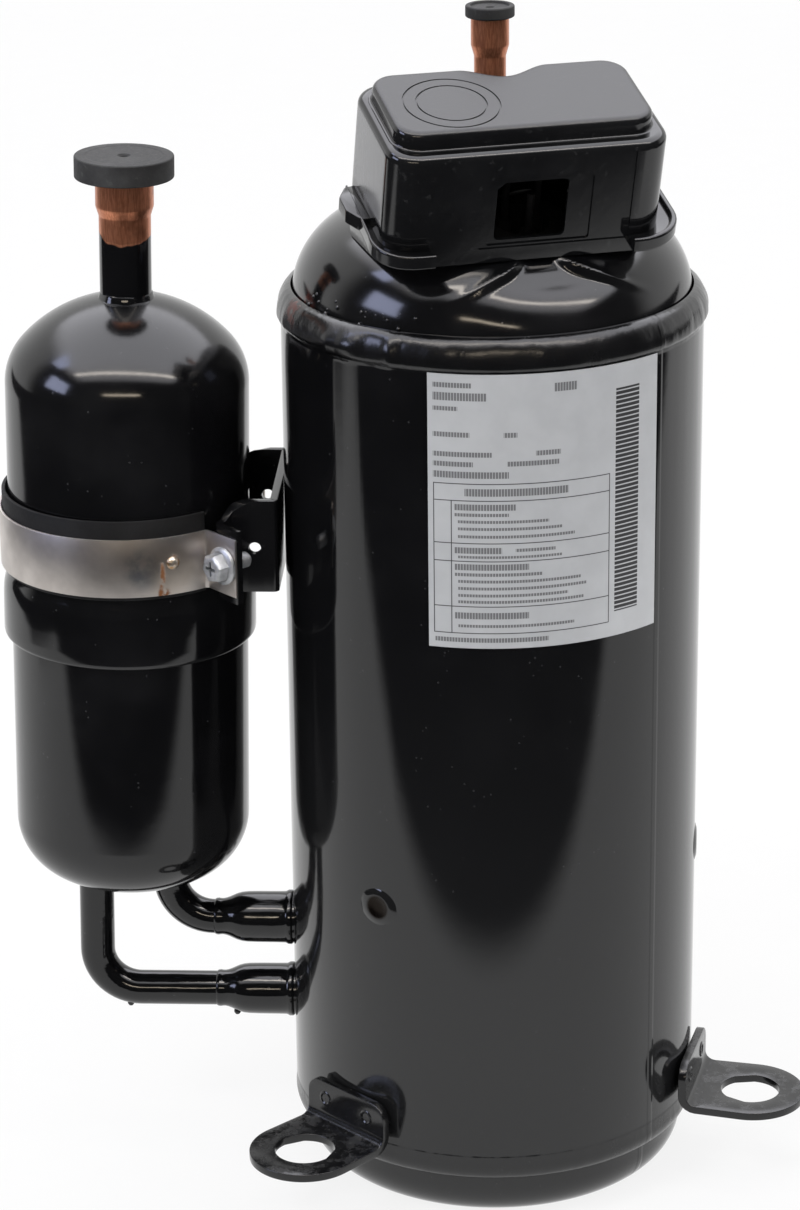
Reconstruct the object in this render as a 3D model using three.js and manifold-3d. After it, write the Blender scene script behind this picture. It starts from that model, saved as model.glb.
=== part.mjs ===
// Hermetic rotary compressor with two pump stages and a suction accumulator, in millimetres, +Z up.
// The origin is on the shell's axis, in the flat underside of the bottom cap. +X runs from the
// accumulator to the shell and -Y is the front, where the rating plate is.
import * as THREE from "three";
import { mergeVertices } from "three/addons/utils/BufferGeometryUtils.js";
import Module from "manifold-3d";

const wasm = await Module();
wasm.setup();

// Fits, and how far a cutting shape runs past what it cuts
const seatGap = 0.3;
const overrun = 4;

// Numbers of facets round the big shells, the pump and the small pieces
const shellFacets = 48;
const vesselFacets = 36;
const pumpFacets = 28;
const shaftFacets = 20;
const stubFacets = 20;
const tubeFacets = 18;
const holeFacets = 12;
const pinFacets = 8;
const wireFacets = 5;
const hexSides = 6;
const dialFacets = 32;
const windingFacets = 24;

// Numbers of steps along arcs and lines
const arcSteps = 4;
const beadSteps = 4;
const beadTubeSteps = 2;
const crownSteps = 3;
const footSteps = 12;
const bandSteps = 29;
const plateSteps = 12;
const edgeSteps = 2;
const hollowSteps = 3;
const rimSteps = 6;
const balanceSteps = 7;
const leadSteps = 10;

// Least share of a full mitre that a bend in a strip keeps
const mitreShare = 0.3;

// Shell tube, its caps and their weld beads
const shellRadius = 64.5;
const shellWall = 3.2;
const shellLowEdge = 20.5;
const shellTopEdge = 283.9;
const capWall = 3.4;
const capLap = 12;
const topBead = { inset: 3.6, width: 4.75, half: 8.2, drop: 3.2, sunk: 1.9 };
const lowBead = { inset: 2.6, width: 2.75, half: 4.2, drop: 4.2, sunk: 0 };
const topKnuckleRadius = 27;
const topKnuckleRise = 2.6;
const crownRadius = 135;
const lowKnuckleRadius = 12;

// Plug welds that hold the main bearing in the shell
const plugWelds = 3;
const plugWeldHeight = 105.8;
const plugWeldTurn = -121.9;
const plugWeldRadius = 4.2;
const plugWeldRise = 1.7;
const plugWeldDimple = 1.6;

// Flat seat pressed into the dome for the terminal, and the facet pressed below it
const seatTurn = 18.5;
const seatTilt = 16.5;
const seatReach = 29.4;
const seatRise = 30;
const coverShift = { u: -3.2, v: 0.6 };
const facetHigh = { inset: 18.5, rise: 23.1 };
const facetLow = { inset: 5, rise: 8.6 };

// Mounting feet
const footTurns = { foot_front_left: -132.6, foot_right: -12.6, foot_rear: 107.4 };
const footTop = 26.1;
const footThickness = 2.5;
const footHoleOffset = 20.7;
const footHoleRadius = 9.4;
const footEndRadius = 17.4;
const footWidth = 34;
const footTabHeight = 13.2;
const footTabCorner = 5;

// Accumulator vessel
const vesselOffset = 49;
const vesselLean = 1.2;
const vesselRadius = 37.6;
const vesselWall = 1.6;
const vesselDomeBase = 258;
const vesselKnuckle = 19.5;
const vesselCrown = 44;
const bellRadius = 39.6;
const bellEdge = 177;
const bellTop = 196.8;
const bellTaper = 2.1;
const bellLipShare = 0.33;
const bellDropShare = 0.25;
const lowVesselRadius = 37.1;
const lowVesselTop = 193;
const lowVesselBottom = 94.5;
const lowVesselKnuckle = 20;
const screenDrop = 8;
const screenThickness = 1.2;
const screenRim = 6;
const screenHoleRadius = 2.6;
const screenHoleReach = 22;
const screenHoles = 6;

// Share of a braze fillet's height at which it is widest, under its middle
const filletShare = 0.33;

// Suction inlet pipe and its plug
const inletRadius = 7.94;
const inletWall = 1.1;
const inletInside = 9.5;
const inletNeckRise = 25;
const inletSwage = 3;
const inletFlareRadius = 8.9;
const inletSocket = 8.5;
const inletBeadRise = 1.3;
const inletBeadHeight = 1.5;
const inletPlug = { radius: 15.2, thickness: 6.8, stem: 8, hole: 2.3, holeDepth: 5, dish: 0.2, dishShare: 0.6 };

// Discharge pipe and its plug
const outletX = -0.4;
const outletY = -2;
const outletRadius = 4.76;
const outletWall = 0.8;
const outletInside = 18.99;
const outletNeckRise = 41.11;
const outletSwage = 2.7;
const outletFlareRadius = 5.7;
const outletSocket = 8.4;
const outletBeadRise = 1.3;
const outletBeadHeight = 1.5;
const outletPlug = { radius: 7.35, thickness: 3.5, stem: 8, hole: 0.9, holeDepth: 2.4, dish: 0.9, dishShare: 0.86 };

// Pipes from the accumulator to the pump, and the ports in the shell that take them
const pipeRadius = 5.56;
const pipeWall = 0.9;
const pipeBendRadius = 14;
const pipeBendSteps = 6;
const standpipeDrop = 10;
const pipeSeatDepth = 9;
const pipeLanes = { upper: 11.7, lower: -12.3 };
const portRadius = 8.3;
const portLip = 0.7;
const portReach = 16.5;
const portSwage = 8;
const portInside = 7;
const portCollarRadius = 9.2;
const portCollarWidth = 1.9;

// Clamp that holds the accumulator: bracket, rubber pad, band and screw
const clampMiddle = 210.35;
const clampTurn = 46.5;
const padThickness = 1.2;
const padSlack = 0.1;
const padBottom = 199.7;
const padTop = 225.1;
const padTurn = 47;
const bandThickness = 0.8;
const bandHeight = 18.5;
const bandEarLength = 14.2;
const bandHookLip = 3.4;
const bandBendTurn = 1;
const bracketThickness = 2.3;
const bracketBottom = 198.5;
const bracketTop = 227.8;
const bracketArmY = 25.4;
const bracketCorner = 4;
const bracketCornerShare = 0.25;
const bracketHoleRadius = 1.9;
const bracketHoleInset = 6;
const bracketEarHeight = 23;
const screwReach = 8.4;
const screwRadius = 2.4;
const screwLength = 10;
const screwTip = 1.2;
const screwFlangeRadius = 5.9;
const screwFlangeThickness = 1.3;
const screwHeadAcross = 8;
const screwHeadHeight = 3.8;
const screwRecess = { arm: 1.1, reach: 2.2, depth: 2 };

// Terminal in the seat: a cup with glassed-in pins
const terminalPins = 3;
const terminalRadius = 14;
const terminalThickness = 2.4;
const terminalCupRadius = 11;
const terminalCupDepth = 7;
const terminalPinReach = 5.6;
const terminalPinRadius = 1.15;
const terminalPinAbove = 15;
const terminalPinBelow = 12;
const terminalBeadRadius = 2.6;
const terminalBeadHeight = 3;

// Terminal cover, in the seat's frame: u across, v to the back, w out of the dome
const coverBox = { left: -43.7, right: 40.9, front: -19.2, back: 27, corner: 9, top: 36.6 };
const coverPlateau = { left: -40.7, right: 37.1, front: -14.4, back: 22.3, corner: 7.5, top: 42 };
const coverRound = 2.6;
const coverWall = 2.2;
const coverNotch = { left: -13.6, right: 13.6, deep: 5.3, shoulderShare: 0.52 };
const coverBottom = 0.4;
const coverFlange = { width: 6, bottom: 3.5, top: 8, left: -30.4, right: 29.8, back: 18 };
const coverEar = { left: -49.6, right: -44, middle: 8, radius: 9.5, thickness: 3 };
const coverPanel = { left: -16.1, right: 29.8, bottom: 4.5, top: 31, depth: 0.9 };
const coverWindow = { left: -11.3, right: 10.2, bottom: 7.3, top: 26.2, corner: 1.6 };
const coverDial = { u: -20.7, v: 4.8, outer: 14.4, inner: 10.5, groove: 0.7, depth: 0.5 };

// Rating plate
const plateThickness = 0.35;
const plateBottom = 195.1;
const plateTop = 279.8;
const plateTurns = { left: -15.5, right: 49.6 };

// Pump: two cylinders of one height with a plate between, closed by a bearing at each end
const pipeSpacing = 25.7;
const lowerPipeHeight = 50.9;
const cylinderHeight = 20;
const cylinderRadius = 53;
const boreRadius = 27;
const eccentricity = 4.5;
const rollerRadius = 22.2;
const rollerBore = 17.6;
const vaneThickness = 4;
const vaneLength = 21;
const vaneTurn = 155;
const springRadius = 3.1;
const springWire = 0.5;
const springTurns = 4;
const springSteps = 8;
const springBoreRadius = 4.1;
const bearingThickness = 10;
const bearingRimInner = 50;
const bearingRimTop = 112;
const mainHubRadius = 17;
const mainHubTop = 136;
const subHubRadius = 15;
const subHubBottom = 17;
const subFlangeRadius = 46;
const dischargeTurn = 205;
const dischargeReach = 24;
const dischargeHoleRadius = 3.6;
const reed = { length: 22, tip: 5, root: 6, width: 8, thickness: 0.5, gap: 0.3 };
const retainer = { thickness: 1.2, rise: 3.2 };
const muffler = { wall: 0.9, radius: 42, height: 11, portRadius: 5, portReach: 30 };
const boltReach = 34;
const boltRadius = 2.9;
const boltHeadRadius = 4.8;
const boltHeadHeight = 5;
const boltTurns = [10, 82, 136, 226, 298];

// Crankshaft
const shaftRadius = 10;
const subShaftRadius = 8.5;
const shaftBore = 3;
const shaftTop = 243;
const shaftBottom = 15;
const eccentricRadius = 17.3;
const eccentricInset = 1.5;
const crankTurn = vaneTurn + 90;

// Motor
const statorBottom = 161.5;
const statorHeight = 68;
const statorBore = 31.5;
const statorSlots = 9;
const slotInner = 36;
const statorBack = 10.3;
const slotShareInner = 0.42;
const slotShareOuter = 0.5;
const slotMouth = 2.4;
const coreNotches = 6;
const coreNotchDepth = 2.2;
const coreNotchHalf = 6;
const windingGap = 8.8;
const windingInner = 34.5;
const windingHeight = 19;
const windingRound = 4.75;
const rotorRadius = 31;
const rotorOverhang = 2;
const balanceRadius = 28;
const balanceInner = 14;
const balanceHeight = 9;
const balanceAngle = 150;
const leadRadius = 2.6;
const leadKneeShare = 0.5;

// Colours, roughness and metalness of the finishes
const enamel = { color: 0x121214, roughness: 0.22, metalness: 0.3 };
const blackRubber = { color: 0x2b2b2c, roughness: 0.92, metalness: 0 };
const copper = { color: 0x9a5236, roughness: 0.38, metalness: 0.9 };
const stainless = { color: 0xa89f95, roughness: 0.36, metalness: 0.9 };
const zinc = { color: 0xa7a9ab, roughness: 0.32, metalness: 0.85 };
const plastic = { color: 0x2f3032, roughness: 0.5, metalness: 0 };
const silverPlate = { color: 0xb9bbbd, roughness: 0.4, metalness: 0.55 };
const castIron = { color: 0x55565a, roughness: 0.6, metalness: 0.7 };
const steel = { color: 0x8d8f92, roughness: 0.35, metalness: 0.9 };
const coreSteel = { color: 0x6b6d72, roughness: 0.5, metalness: 0.8 };
const magnetWire = { color: 0x8c4a22, roughness: 0.45, metalness: 0.4 };
const brass = { color: 0xb08d4a, roughness: 0.35, metalness: 0.9 };

const radians = THREE.MathUtils.degToRad;

// A closed geometry as a solid; a profile drawn the other way round is turned face out
function solid(geometry) {
  const bare = geometry.clone();
  bare.deleteAttribute("normal");
  bare.deleteAttribute("uv");
  const merged = mergeVertices(bare, 1e-4);
  const points = merged.attributes.position.array;
  const corners = [];
  const index = merged.index.array;
  let volume = 0;
  for (let i = 0; i < index.length; i += 3) {
    const [a, b, c] = [index[i], index[i + 1], index[i + 2]];
    if (a === b || b === c || c === a) continue;
    corners.push(a, b, c);
    const [p, q, r] = [a, b, c].map((k) => new THREE.Vector3().fromArray(points, k * 3));
    volume += p.dot(q.cross(r));
  }
  if (volume < 0) corners.reverse();
  const mesh = new wasm.Mesh({ numProp: 3, vertProperties: points, triVerts: new Uint32Array(corners) });
  return new wasm.Manifold(mesh);
}

// A named mesh of a solid with its own material
function piece(name, shape, finish) {
  const built = shape.getMesh();
  const geometry = new THREE.BufferGeometry();
  const points = new Float32Array(built.numVert * 3);
  for (let i = 0; i < built.numVert; i += 1) {
    points.set(built.vertProperties.subarray(i * built.numProp, i * built.numProp + 3), i * 3);
  }
  geometry.setAttribute("position", new THREE.BufferAttribute(points, 3));
  geometry.setIndex(new THREE.BufferAttribute(built.triVerts, 1));
  geometry.computeVertexNormals();
  const mesh = new THREE.Mesh(geometry, new THREE.MeshStandardMaterial(finish));
  mesh.name = name;
  return mesh;
}

function joined(...shapes) {
  return shapes.reduce((whole, next) => whole.add(next));
}

function group(...children) {
  const made = new THREE.Group();
  made.add(...children);
  return made;
}

// Solid of revolution about Z from a profile of [radius, height] points
function turned(profile, facets) {
  const points = profile.map(([r, z]) => new THREE.Vector2(r, z));
  const closes = profile[0][0] !== 0 || profile.at(-1)[0] !== 0;
  if (closes) points.push(points[0].clone());
  return new THREE.LatheGeometry(points, facets).rotateX(Math.PI / 2);
}

// Cylinder about Z between two heights
function rod(radius, bottom, top, facets = tubeFacets) {
  const shape = new THREE.CylinderGeometry(radius, radius, top - bottom, facets);
  return shape.rotateX(Math.PI / 2).translate(0, 0, (top + bottom) / 2);
}

function tube(outer, inner, bottom, top, facets = tubeFacets) {
  return turned([[inner, bottom], [outer, bottom], [outer, top], [inner, top]], facets);
}

function block([x0, x1], [y0, y1], [z0, z1]) {
  return new THREE.BoxGeometry(x1 - x0, y1 - y0, z1 - z0).translate((x0 + x1) / 2, (y0 + y1) / 2, (z0 + z1) / 2);
}

// Points on an arc of an ellipse, angles in degrees
function arc(centreR, centreZ, a, b, from, to, steps = arcSteps) {
  const points = [];
  for (let i = 0; i <= steps; i += 1) {
    const t = radians(from + ((to - from) * i) / steps);
    points.push([centreR + a * Math.cos(t), centreZ + b * Math.sin(t)]);
  }
  return points;
}

// Plate of a plan outline between two heights
function plate(shape, bottom, top, steps = arcSteps) {
  const made = new THREE.ExtrudeGeometry(shape, { depth: top - bottom, bevelEnabled: false, curveSegments: steps });
  return made.translate(0, 0, bottom);
}

function outline(points) {
  return new THREE.Shape(points.map(([x, y]) => new THREE.Vector2(x, y)));
}

// Strip of one thickness along a plan line, with its bends mitred
function strip(line, thickness, bottom, top) {
  const half = thickness / 2;
  const offset = (side) =>
    line.map(([x, y], i) => {
      const before = line[Math.max(i - 1, 0)];
      const after = line[Math.min(i + 1, line.length - 1)];
      const along = ([x0, y0], [x1, y1]) => new THREE.Vector2(x1 - x0, y1 - y0).normalize();
      const a = i > 0 ? along(before, [x, y]) : along([x, y], after);
      const b = i < line.length - 1 ? along([x, y], after) : a;
      const normal = new THREE.Vector2(-a.y - b.y, a.x + b.x).normalize();
      const stretch = half / Math.max(normal.dot(new THREE.Vector2(-a.y, a.x)), mitreShare);
      return [x + normal.x * stretch * side, y + normal.y * stretch * side];
    });
  return plate(outline([...offset(-1), ...offset(1).reverse()]), bottom, top);
}

// A pipe line made of straights and one bend, with a ring only where the shape needs one
class BentLine extends THREE.Curve {
  constructor(stations) {
    super();
    this.stations = stations;
  }
  blend(t, key) {
    const place = t * (this.stations.length - 1);
    const i = Math.min(Math.floor(place), this.stations.length - 2);
    return this.stations[i][key].clone().lerp(this.stations[i + 1][key], place - i);
  }
  getPoint(t) {
    return this.blend(t, "point");
  }
  getPointAt(t) {
    return this.blend(t, "point");
  }
  getTangentAt(t) {
    return this.blend(t, "tangent").normalize();
  }
}

function swept(line, steps, outer, inner, facets) {
  const circle = (radius) => outline(arc(0, 0, radius, radius, 0, 360, facets).slice(0, -1));
  const ring = circle(outer);
  if (inner) ring.holes.push(circle(inner));
  return new THREE.ExtrudeGeometry(ring, { steps, extrudePath: line, bevelEnabled: false });
}

const shellBore = shellRadius - shellWall;
const capRadius = shellBore - seatGap;
const frontTurn = -90;
const footHoleReach = shellRadius + footHoleOffset;
const vesselX = -(shellRadius + vesselOffset);
const screenHeight = vesselDomeBase - screenDrop;
const standpipeTop = screenHeight - standpipeDrop;
const slotOuter = shellBore - statorBack;
const windingOuter = shellBore - windingGap;

// A dished end: its knuckle and crown, from the straight side to the axis, set in by a wall
function dished({ radius, base, knuckle, crown }, set) {
  const centre = radius - knuckle;
  const lean = Math.asin(centre / (crown - knuckle));
  const crownCentre = base - (crown - knuckle) * Math.cos(lean);
  const steep = 90 - THREE.MathUtils.radToDeg(lean);
  return [
    ...arc(centre, base, knuckle - set, knuckle - set, 0, steep),
    ...arc(0, crownCentre, crown - set, crown - set, steep, 90, crownSteps).slice(1, -1),
    [0, crownCentre + crown - set],
  ];
}

const topDish = {
  radius: capRadius,
  base: shellTopEdge + topKnuckleRise,
  knuckle: topKnuckleRadius,
  crown: crownRadius,
};
const vesselDish = { radius: vesselRadius, base: vesselDomeBase, knuckle: vesselKnuckle, crown: vesselCrown };
const crownTop = dished(topDish, 0).at(-1)[1];
const vesselTop = dished(vesselDish, 0).at(-1)[1];
const inletBottom = vesselTop - inletInside;
const inletNeck = vesselTop + inletNeckRise;
const inletFlareStart = inletNeck + inletSwage;
const inletTop = inletFlareStart + inletSocket;
const outletBottom = crownTop - outletInside;
const outletNeck = crownTop + outletNeckRise;
const outletFlareStart = outletNeck + outletSwage;
const outletTop = outletFlareStart + outletSocket;

// Weld bead at an end of the shell: part of an ellipse from the shell's face over to its bore
function bead({ inset, width, half, drop, sunk }, edge, up) {
  const centre = shellRadius - inset;
  const middle = edge - up * sunk;
  const start = THREE.MathUtils.radToDeg(Math.acos(inset / width));
  const end = THREE.MathUtils.radToDeg(Math.acos((shellBore - centre) / width));
  const onTube = arc(centre, middle, width, drop, -up * start, 0, beadTubeSteps);
  return [...onTube, ...arc(centre, middle, width, half, 0, up * end, beadSteps).slice(1)];
}

function shellTube() {
  const upperBead = bead(topBead, shellTopEdge, 1);
  const lowerBead = bead(lowBead, shellLowEdge, -1);
  let body = solid(turned([...lowerBead.reverse(), ...upperBead], shellFacets));
  for (let k = 0; k < plugWelds; k += 1) {
    const turn = radians(plugWeldTurn + (k * 360) / plugWelds);
    const boss = turned(
      [
        [0, shellBore + capWall / 2],
        [plugWeldRadius, shellBore + capWall / 2],
        [plugWeldRadius, shellRadius + plugWeldRise / 2],
        [plugWeldDimple * 2, shellRadius + plugWeldRise],
        [plugWeldDimple, shellRadius + plugWeldRise],
        [0, shellRadius],
      ],
      holeFacets,
    );
    body = body.add(solid(boss.rotateY(Math.PI / 2).rotateZ(turn).translate(0, 0, plugWeldHeight)));
  }
  for (const height of [lowerPipeHeight, lowerPipeHeight + pipeSpacing]) {
    const bore = rod(portRadius + seatGap, shellBore - overrun, shellRadius + overrun);
    body = body.subtract(solid(bore.rotateY(-Math.PI / 2).translate(0, 0, height)));
  }
  return body;
}

const seatFrame = new THREE.Matrix4()
  .makeRotationFromEuler(new THREE.Euler(radians(seatTilt), 0, radians(seatTurn), "ZXY"))
  .setPosition(
    seatReach * Math.cos(radians(frontTurn + seatTurn)),
    seatReach * Math.sin(radians(frontTurn + seatTurn)),
    shellTopEdge + seatRise,
  );

// What the dome's two presses take away: all above the terminal seat and all before the facet
function pressed(set) {
  const big = shellRadius * 2;
  const seat = block([-big, big], [-big, big], [-set, big]).applyMatrix4(seatFrame);
  const lean = Math.atan2(facetHigh.inset - facetLow.inset, facetHigh.rise - facetLow.rise);
  const facet = block([-set, big], [-big, big], [-big, big])
    .rotateY(-lean)
    .translate(shellRadius - facetLow.inset, 0, shellTopEdge + facetLow.rise)
    .rotateZ(radians(frontTurn + seatTurn));
  return solid(seat).add(solid(facet));
}

function topCap() {
  const skirt = shellTopEdge - capLap;
  const outside = [[0, skirt], [capRadius, skirt], ...dished(topDish, 0)];
  const inside = [[0, skirt - overrun], [capRadius - capWall, skirt - overrun], ...dished(topDish, capWall)];
  const outer = solid(turned(outside, shellFacets)).subtract(pressed(0));
  const inner = solid(turned(inside, shellFacets)).subtract(pressed(capWall));
  const terminalHole = rod(terminalCupRadius + seatGap, -capWall * 2 - overrun, overrun).applyMatrix4(seatFrame);
  const pipeHole = rod(outletRadius + seatGap, outletBottom, outletNeck).translate(outletX, outletY, 0);
  return outer.subtract(inner).subtract(solid(terminalHole)).subtract(solid(pipeHole));
}

function bottomCap() {
  const skirt = shellLowEdge + capLap;
  const flat = capRadius - lowKnuckleRadius;
  const bore = lowKnuckleRadius - capWall;
  return solid(
    turned(
      [
        [0, 0],
        ...arc(flat, lowKnuckleRadius, lowKnuckleRadius, lowKnuckleRadius, -90, 0),
        [capRadius, skirt],
        [capRadius - capWall, skirt],
        ...arc(flat, lowKnuckleRadius, bore, bore, 0, -90),
        [0, capWall],
      ],
      shellFacets,
    ),
  );
}

// A foot is a pressed angle: a tab welded to the shell and a plate with the grommet hole
function foot() {
  const tabFace = shellRadius + seatGap;
  const half = footWidth / 2;
  const shape = new THREE.Shape();
  const reach = Math.hypot(footHoleReach - tabFace, half);
  const lean = Math.atan2(half, footHoleReach - tabFace);
  const touch = Math.PI - lean - Math.acos(footEndRadius / reach);
  shape.absarc(footHoleReach, 0, footEndRadius, -touch, touch);
  shape.lineTo(tabFace, half);
  shape.lineTo(tabFace, -half);
  shape.holes.push(new THREE.Path().absarc(footHoleReach, 0, footHoleRadius, 0, 2 * Math.PI, true));
  const base = solid(plate(shape, footTop - footThickness, footTop, footSteps));
  const tab = new THREE.Shape();
  tab.moveTo(-half, 0);
  tab.lineTo(half, 0);
  tab.lineTo(half, footThickness + footTabHeight - footTabCorner);
  tab.absarc(half - footTabCorner, footThickness + footTabHeight - footTabCorner, footTabCorner, 0, Math.PI / 2);
  tab.absarc(footTabCorner - half, footThickness + footTabHeight - footTabCorner, footTabCorner, Math.PI / 2, Math.PI);
  const upright = new THREE.ExtrudeGeometry(tab, { depth: footThickness, bevelEnabled: false, curveSegments: arcSteps })
    .rotateX(Math.PI / 2)
    .rotateZ(Math.PI / 2)
    .translate(tabFace, 0, footTop - footThickness);
  return base.add(solid(upright));
}

function feet() {
  return Object.entries(footTurns).map(([name, turn]) => {
    const made = piece(name, foot(), enamel);
    made.rotation.z = radians(turn);
    return made;
  });
}

// Accumulator pieces, drawn about the vessel's own axis
function upperVessel() {
  const round = bellRadius - lowVesselRadius;
  const outside = [
    [lowVesselRadius + seatGap, bellEdge],
    [bellRadius - round * bellLipShare, bellEdge],
    [bellRadius, bellEdge + round],
    [bellRadius - round * bellDropShare, bellTop],
    [vesselRadius, bellTop + bellTaper],
    ...dished(vesselDish, 0),
  ];
  const inside = [
    [lowVesselRadius + seatGap, bellTop - vesselWall],
    [vesselRadius - vesselWall, bellTop + bellTaper - vesselWall],
    ...dished(vesselDish, vesselWall),
  ];
  const wall = solid(turned([...outside, ...inside.reverse()], vesselFacets));
  return wall.subtract(solid(rod(inletRadius + seatGap, inletBottom, inletNeck)));
}

function lowerVessel() {
  const flat = lowVesselRadius - lowVesselKnuckle;
  const bend = lowVesselBottom + lowVesselKnuckle;
  const bore = lowVesselKnuckle - vesselWall;
  let wall = solid(
    turned(
      [
        [0, lowVesselBottom],
        ...arc(flat, bend, lowVesselKnuckle, lowVesselKnuckle, -90, 0),
        [lowVesselRadius, lowVesselTop],
        [lowVesselRadius - vesselWall, lowVesselTop],
        ...arc(flat, bend, bore, bore, 0, -90),
        [0, lowVesselBottom + vesselWall],
      ],
      vesselFacets,
    ),
  );
  for (const lane of Object.values(pipeLanes)) {
    const hole = rod(pipeRadius + seatGap, lowVesselBottom - overrun, bend).translate(lane, 0, 0);
    wall = wall.subtract(solid(hole));
  }
  return wall;
}

// Strainer: a dished disc with holes that keeps debris out of the standpipes
function screen() {
  const edge = vesselRadius - vesselWall - seatGap;
  let disc = solid(
    turned(
      [
        [0, screenHeight],
        [edge - screenThickness, screenHeight],
        [edge - screenThickness, screenHeight - screenRim],
        [edge, screenHeight - screenRim],
        [edge, screenHeight + screenThickness],
        [0, screenHeight + screenThickness],
      ],
      vesselFacets,
    ),
  );
  for (let k = 0; k < screenHoles; k += 1) {
    const hole = rod(screenHoleRadius, screenHeight - overrun, screenHeight + overrun, holeFacets);
    disc = disc.subtract(solid(hole.translate(screenHoleReach, 0, 0).rotateZ(radians((k * 360) / screenHoles))));
  }
  return disc;
}

// Straight stub with a swaged socket at its top and a braze fillet round its foot
function stub({ radius, wall, bottom, neck, flareStart, flareRadius, top, fillet, rise, height }) {
  return solid(
    turned(
      [
        [radius - wall, bottom],
        [radius, bottom],
        [radius, fillet - height],
        [radius + rise, fillet - height * filletShare],
        [radius, fillet + height],
        [radius, neck],
        [flareRadius, flareStart],
        [flareRadius, top],
        [flareRadius - wall, top],
        [flareRadius - wall, flareStart],
        [radius - wall, neck],
      ],
      stubFacets,
    ),
  );
}

// Soft plug that closes a stub for shipping: a cap with a dished top on a stem
function plug(size, stemRadius, seat) {
  const top = seat + size.thickness;
  const dishRadius = size.radius * size.dishShare;
  return solid(
    turned(
      [
        [0, seat - size.stem],
        [stemRadius, seat - size.stem],
        [stemRadius, seat],
        [size.radius - size.dish, seat],
        [size.radius, seat + size.dish],
        [size.radius, top - size.dish],
        [size.radius - size.dish, top],
        [dishRadius, top],
        [size.hole, top - size.dish],
        [size.hole, top - size.holeDepth],
        [0, top - size.holeDepth],
      ],
      stubFacets,
    ),
  );
}

function inletPipe() {
  return stub({
    radius: inletRadius,
    wall: inletWall,
    bottom: inletBottom,
    neck: inletNeck,
    flareStart: inletFlareStart,
    flareRadius: inletFlareRadius,
    top: inletTop,
    fillet: vesselTop + inletBeadHeight,
    rise: inletBeadRise,
    height: inletBeadHeight,
  });
}

function dischargePipe(seat) {
  return stub({
    radius: outletRadius,
    wall: outletWall,
    bottom: outletBottom,
    neck: outletNeck,
    flareStart: outletFlareStart,
    flareRadius: outletFlareRadius,
    top: outletTop,
    fillet: seat + outletBeadHeight + seatGap,
    rise: outletBeadRise,
    height: outletBeadHeight,
  });
}

const pumpPortInner = boreRadius + pipeSeatDepth;

// Pipe from inside the accumulator down, round one bend and into a cylinder's suction port
function outletPipe(lane, height) {
  const lean = radians(vesselLean);
  const bendTop = height + pipeBendRadius * (1 + Math.sin(lean));
  const bendX = leanX(bendTop) + lane;
  const down = new THREE.Vector3(-Math.sin(lean), 0, -Math.cos(lean));
  const stations = [{ point: new THREE.Vector3(leanX(standpipeTop) + lane, 0, standpipeTop), tangent: down }];
  for (let i = 0; i <= pipeBendSteps; i += 1) {
    const t = (Math.PI / 2 + lean) * (i / pipeBendSteps) - lean;
    stations.push({
      point: new THREE.Vector3(
        bendX + pipeBendRadius * (Math.cos(lean) - Math.cos(t)),
        0,
        bendTop - pipeBendRadius * (Math.sin(t) + Math.sin(lean)),
      ),
      tangent: new THREE.Vector3(Math.sin(t), 0, -Math.cos(t)),
    });
  }
  stations.push({ point: new THREE.Vector3(-pumpPortInner, 0, height), tangent: new THREE.Vector3(1, 0, 0) });
  return solid(swept(new BentLine(stations), stations.length - 1, pipeRadius, pipeRadius - pipeWall, tubeFacets));
}

// Steel port through the shell; its outer end is swaged down on the pipe
function port(height) {
  const bore = pipeRadius + seatGap;
  const collar = shellRadius + seatGap;
  const neck = shellRadius + portReach;
  const shape = turned(
    [
      [bore, shellRadius - portInside],
      [portRadius, shellRadius - portInside],
      [portRadius, collar],
      [portCollarRadius, collar],
      [portCollarRadius, collar + portCollarWidth],
      [portRadius, collar + portCollarWidth],
      [portRadius, neck],
      [bore + portLip, neck + portSwage],
      [bore, neck + portSwage],
    ],
    tubeFacets,
  );
  return solid(shape.rotateY(-Math.PI / 2).translate(0, 0, height));
}

const padInner = vesselRadius + seatGap + padSlack;
const bandInner = padInner + padThickness + seatGap;
const bandOuter = bandInner + bandThickness;
const bandMiddle = bandInner + bandThickness / 2;
const bandBottom = clampMiddle - bandHeight / 2;
const bandTop = clampMiddle + bandHeight / 2;
const screwX = bandOuter + screwReach;

// The vessel leans a little to the shell about the middle of its clamp
function leanX(height) {
  return vesselX + (height - clampMiddle) * Math.tan(radians(vesselLean));
}

// Points round the vessel's axis from one angle to another, in degrees
function round(radius, from, to, steps) {
  return arc(0, 0, radius, radius, from, to, steps);
}

function clampPad() {
  const line = round(padInner + padThickness / 2, padTurn, 360 - padTurn, bandSteps);
  return solid(strip(line, padThickness, padBottom, padTop));
}

// A point given along the front ear and across it, in the vessel's frame; side 1 is front, -1 back
function earPoint(along, across, side) {
  const turn = radians(clampTurn);
  return [
    along * Math.cos(turn) + across * Math.sin(turn),
    -side * (along * Math.sin(turn) - across * Math.cos(turn)),
  ];
}

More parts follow.
